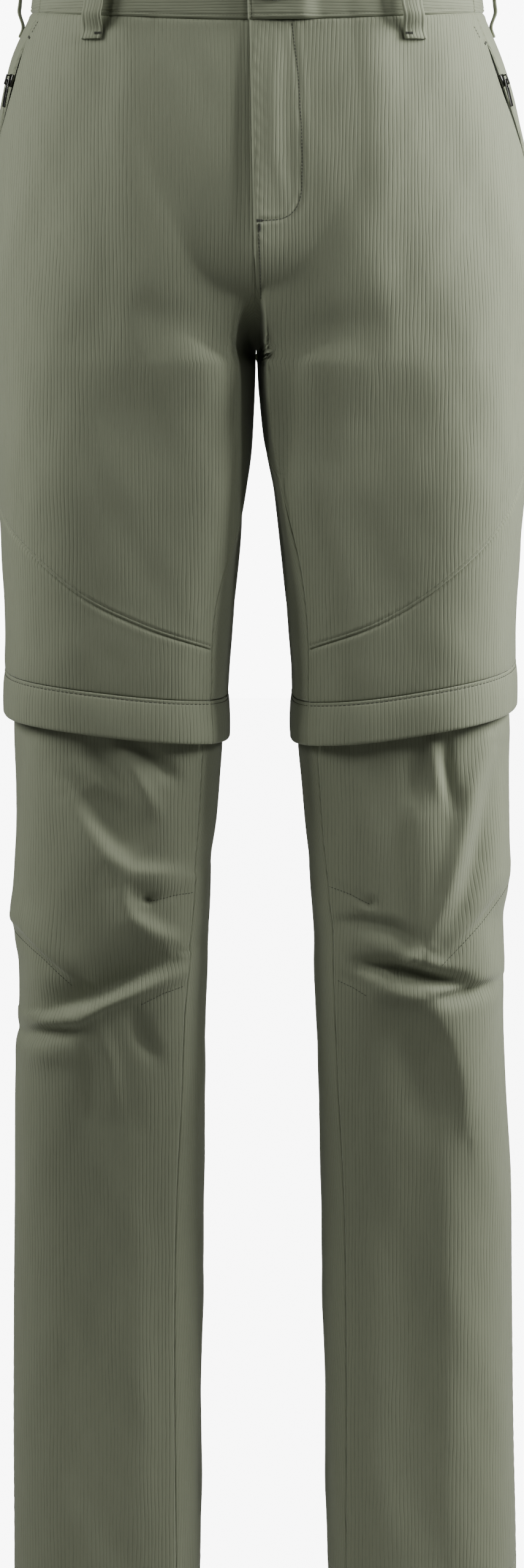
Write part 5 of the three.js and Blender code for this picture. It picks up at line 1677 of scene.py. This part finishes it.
groove = rib.math("MULTIPLY", groove, rib.span(broken, 0.3, 0.62, 0.25, 1.0))
groove = rib.math("MULTIPLY", groove, rib.span(unevenness, 0.3, 0.7, 0.4, 1.0))
weave_across = rib.math("SINE", rib.math("MULTIPLY", place.outputs["X"], 2 * math.pi / WEAVE_ACROSS))
weave_down = rib.math("SINE", rib.math("MULTIPLY", place.outputs["Y"], 2 * math.pi / WEAVE_DOWN))
fine = rib.noise(rib.stretched(rib_in.outputs["Vector"], (1500, 700, 1)), 1.0, 2.0)
weave = rib.math("ADD", rib.math("MULTIPLY", weave_across, weave_down), rib.math("MULTIPLY", fine, 1.6))
height = rib.math("SUBTRACT", rib.math("MULTIPLY", round_rib, 0.6), rib.math("MULTIPLY", groove, 0.7))
height = rib.math("ADD", height, rib.math("MULTIPLY", weave, 0.08))
cloud = rib.noise(rib.stretched(rib_in.outputs["Vector"], (9, 5, 1)), 1.0, 3.0)
for label, value in (("Height", height), ("Groove", groove), ("Weave", weave), ("Cloud", cloud)):
    rib_tree.links.new(value, rib_out.inputs[label])


# %% Cloth materials
CLOTH_ROUGH = 0.78
GROOVE_ROUGHER = 0.15
CLOTH_SHADER = {
    "Sheen Weight": 0.35,
    "Sheen Roughness": 0.45,
    "Sheen Tint": (0.85, 0.88, 0.78, 1),
    "Specular IOR Level": 0.25,
}
FADED = 0.93
SPECKLED = 1.5


def new_material(name, viewport):
    material = bpy.data.materials.new(name)
    material.use_nodes = True
    material.diffuse_color = (*viewport, 1)
    shader = material.node_tree.nodes["Principled BSDF"]
    return material, Graph(material.node_tree), shader


def cloth_material(name, light, dark, pitch, bump, groove_depth):
    material, graph, shader = new_material(name, light)
    uv = graph.node("ShaderNodeUVMap", uv_map="cloth")
    group = graph.tree.nodes.new("ShaderNodeGroup")
    group.node_tree = rib_tree
    group.inputs["Pitch"].default_value = pitch
    graph.feed(group.inputs["Vector"], uv.outputs[0])
    toned = graph.blend(graph.span(group.outputs["Cloud"], 0.35, 0.65, 0.0, 1.0), (*light, 1),
                        (*(FADED * part for part in light), 1))
    # Painted shade: the grooves between the cords are mixed towards the darker colour, by groove_depth.
    share = graph.math("MULTIPLY", group.outputs["Groove"], groove_depth)
    coloured = graph.blend(share, toned, (*dark, 1))
    speckle = graph.span(group.outputs["Weave"], -0.4, 2.0, 0.0, 0.12)
    coloured = graph.blend(speckle, coloured, (*(SPECKLED * part for part in light), 1))
    graph.feed(shader.inputs["Base Color"], coloured)
    rougher = graph.math("MULTIPLY", group.outputs["Groove"], GROOVE_ROUGHER)
    graph.feed(shader.inputs["Roughness"], graph.math("ADD", CLOTH_ROUGH, rougher))
    bump_node = graph.node("ShaderNodeBump")
    bump_node.inputs["Strength"].default_value = 1.0
    bump_node.inputs["Distance"].default_value = bump
    graph.feed(bump_node.inputs["Height"], group.outputs["Height"])
    graph.feed(shader.inputs["Normal"], bump_node.outputs[0])
    for label, value in CLOTH_SHADER.items():
        shader.inputs[label].default_value = value
    return material


RIB_LIGHT = (0.25, 0.272, 0.186)
# The darker colour is painted shade for the grooves between the cords.
RIB_GROOVE_SHADE = (0.093, 0.103, 0.07)
BAND_LIGHT = tuple(FADED * part for part in RIB_LIGHT)
BAND_PITCH = 0.0019
CLOTH_BUMP = 0.0002
# The last number is the share of painted shade in the grooves.
rib_cloth = cloth_material("rib cloth", RIB_LIGHT, RIB_GROOVE_SHADE, RIB_PITCH, CLOTH_BUMP, 0.31)
band_cloth = cloth_material("band cloth", BAND_LIGHT, RIB_GROOVE_SHADE, BAND_PITCH, CLOTH_BUMP, 0.36)

# %% [markdown]
# Thread, tape and metal are simpler. Each has fine spots in its colour and roughness, drawn out along one
# direction on the thread and the slider, so that no surface is one flat colour.

# %% Thread, tape and metal materials
def object_space(graph):
    return graph.node("ShaderNodeTexCoord").outputs["Object"]


def plain_material(name, light, dark, grain, rough, metallic=0.0, bump=0.0):
    material, graph, shader = new_material(name, light)
    spots = graph.noise(graph.stretched(object_space(graph), grain), 1.0, 3.0)
    colour = graph.blend(graph.span(spots, 0.35, 0.65), (*light, 1), (*dark, 1))
    graph.feed(shader.inputs["Base Color"], colour)
    graph.feed(shader.inputs["Roughness"], graph.span(spots, 0.3, 0.7, rough, rough + 0.15))
    shader.inputs["Metallic"].default_value = metallic
    if bump:
        node = graph.node("ShaderNodeBump")
        node.inputs["Distance"].default_value = bump
        graph.feed(node.inputs["Height"], spots)
        graph.feed(shader.inputs["Normal"], node.outputs[0])
    return material


# The thread is darker than the cloth: partly its own colour, and partly painted shade for the holes the
# stitches sink into.
thread_material = plain_material("sewing thread", (0.085, 0.09, 0.066), (0.05, 0.053, 0.04),
                                 (900, 900, 2500), 0.7)
tape_material = plain_material("zip tape", (0.012, 0.0125, 0.011), (0.007, 0.0073, 0.006),
                               (1600, 1600, 1600), 0.75, bump=0.0002)
slider_metal = plain_material("slider metal", (0.17, 0.17, 0.16), (0.08, 0.08, 0.075),
                              (700, 700, 150), 0.25, metallic=1.0)
button_metal = plain_material("button metal", (0.5, 0.5, 0.48), (0.3, 0.3, 0.29),
                              (300, 300, 300), 0.22, metallic=1.0)


def paint(piece, material):
    piece.data.materials.clear()
    piece.data.materials.append(material)


for node, panel in PANELS.items():
    paint(panel.piece, band_cloth if node in BANDS else rib_cloth)
for piece in ZIP_PIECES:
    paint(piece, tape_material)
for piece in METAL_PIECES:
    paint(piece, slider_metal)
paint(thread, thread_material)
paint(button, button_metal)
print("materials", [material.name for material in bpy.data.materials if material.users])

# %% [markdown]
# ## Light and stage
# Two softboxes beside the trousers give both legs a bright outer edge and a darker core, the right one much
# stronger. Two weaker ones stand in front of the corners and fill that core, and one behind draws the rims.
# The backdrop is white to the camera, but gives the cloth only a little light, or the gap between the legs
# would lose its depth.

# %% Lights
SoftBox = namedtuple("SoftBox", "name place target size power")
SOFT_BOXES = [
    SoftBox("softbox_right", (1.15, -0.165, 0.3), (0.1, 0, -0.3), (0.5, 0.7), 33),
    SoftBox("softbox_left", (-1.15, -0.26, 0.3), (-0.1, 0, -0.3), (0.5, 0.7), 13),
    SoftBox("fill_right", (1.6, -1.4, 1.1), (0, 0, -0.2), (0.4, 0.6), 14),
    SoftBox("fill_left", (-1.6, -1.4, 1.1), (0, 0, -0.2), (0.4, 0.6), 8),
    SoftBox("softbox_back", (0, 3.0, 0.9), (0, 0, -0.4), (0.9, 1.2), 30),
]
for box in SOFT_BOXES:
    data = bpy.data.lights.new(box.name, "AREA")
    data.shape = "RECTANGLE"
    data.size, data.size_y = box.size
    data.energy = box.power
    light = bpy.data.objects.new(box.name, data)
    light.location = box.place
    light.rotation_euler = (Vector(box.target) - Vector(box.place)).to_track_quat("-Z", "Y").to_euler()
    bpy.context.scene.collection.objects.link(light)
print("lights", len(SOFT_BOXES))

# %% Floor and backdrop
FLOOR_Z = -1.12
FLOOR_SIZE = 14
WHITE_TO_CAMERA = 9.0
LIGHT_OF_WORLD = 0.012
GLOW_SHARE = 0.92
FLOOR_ROUGH = 0.9
bpy.ops.mesh.primitive_plane_add(size=FLOOR_SIZE, location=(0, 0, FLOOR_Z))
floor = bpy.context.active_object
floor.name = "floor"
floor_material, floor_graph, floor_shader = new_material("pale floor", (0.8, 0.8, 0.79))
grain = floor_graph.noise(object_space(floor_graph), 6.0)
floor_graph.feed(floor_shader.inputs["Base Color"],
                 floor_graph.blend(grain, (0.3, 0.3, 0.295, 1), (0.34, 0.34, 0.335, 1)))
floor_shader.inputs["Roughness"].default_value = FLOOR_ROUGH
path = floor_graph.node("ShaderNodeLightPath")
glow = floor_graph.node("ShaderNodeEmission")
glow.inputs["Strength"].default_value = WHITE_TO_CAMERA
share = floor_graph.math("MULTIPLY", path.outputs["Is Camera Ray"], GLOW_SHARE)
both = floor_graph.node("ShaderNodeMixShader", share, floor_shader.outputs[0], glow.outputs[0])
surface_out = floor_graph.tree.nodes["Material Output"]
floor_graph.feed(surface_out.inputs["Surface"], both.outputs[0])
paint(floor, floor_material)

world = bpy.data.worlds.new("studio")
world.use_nodes = True
world_graph = Graph(world.node_tree)
background = world.node_tree.nodes["Background"]
background.inputs["Color"].default_value = (1, 1, 1, 1)
path = world_graph.node("ShaderNodeLightPath")
strength = world_graph.math("MULTIPLY_ADD", path.outputs["Is Camera Ray"], WHITE_TO_CAMERA - LIGHT_OF_WORLD,
                            LIGHT_OF_WORLD)
world_graph.feed(background.inputs["Strength"], strength)
bpy.context.scene.world = world
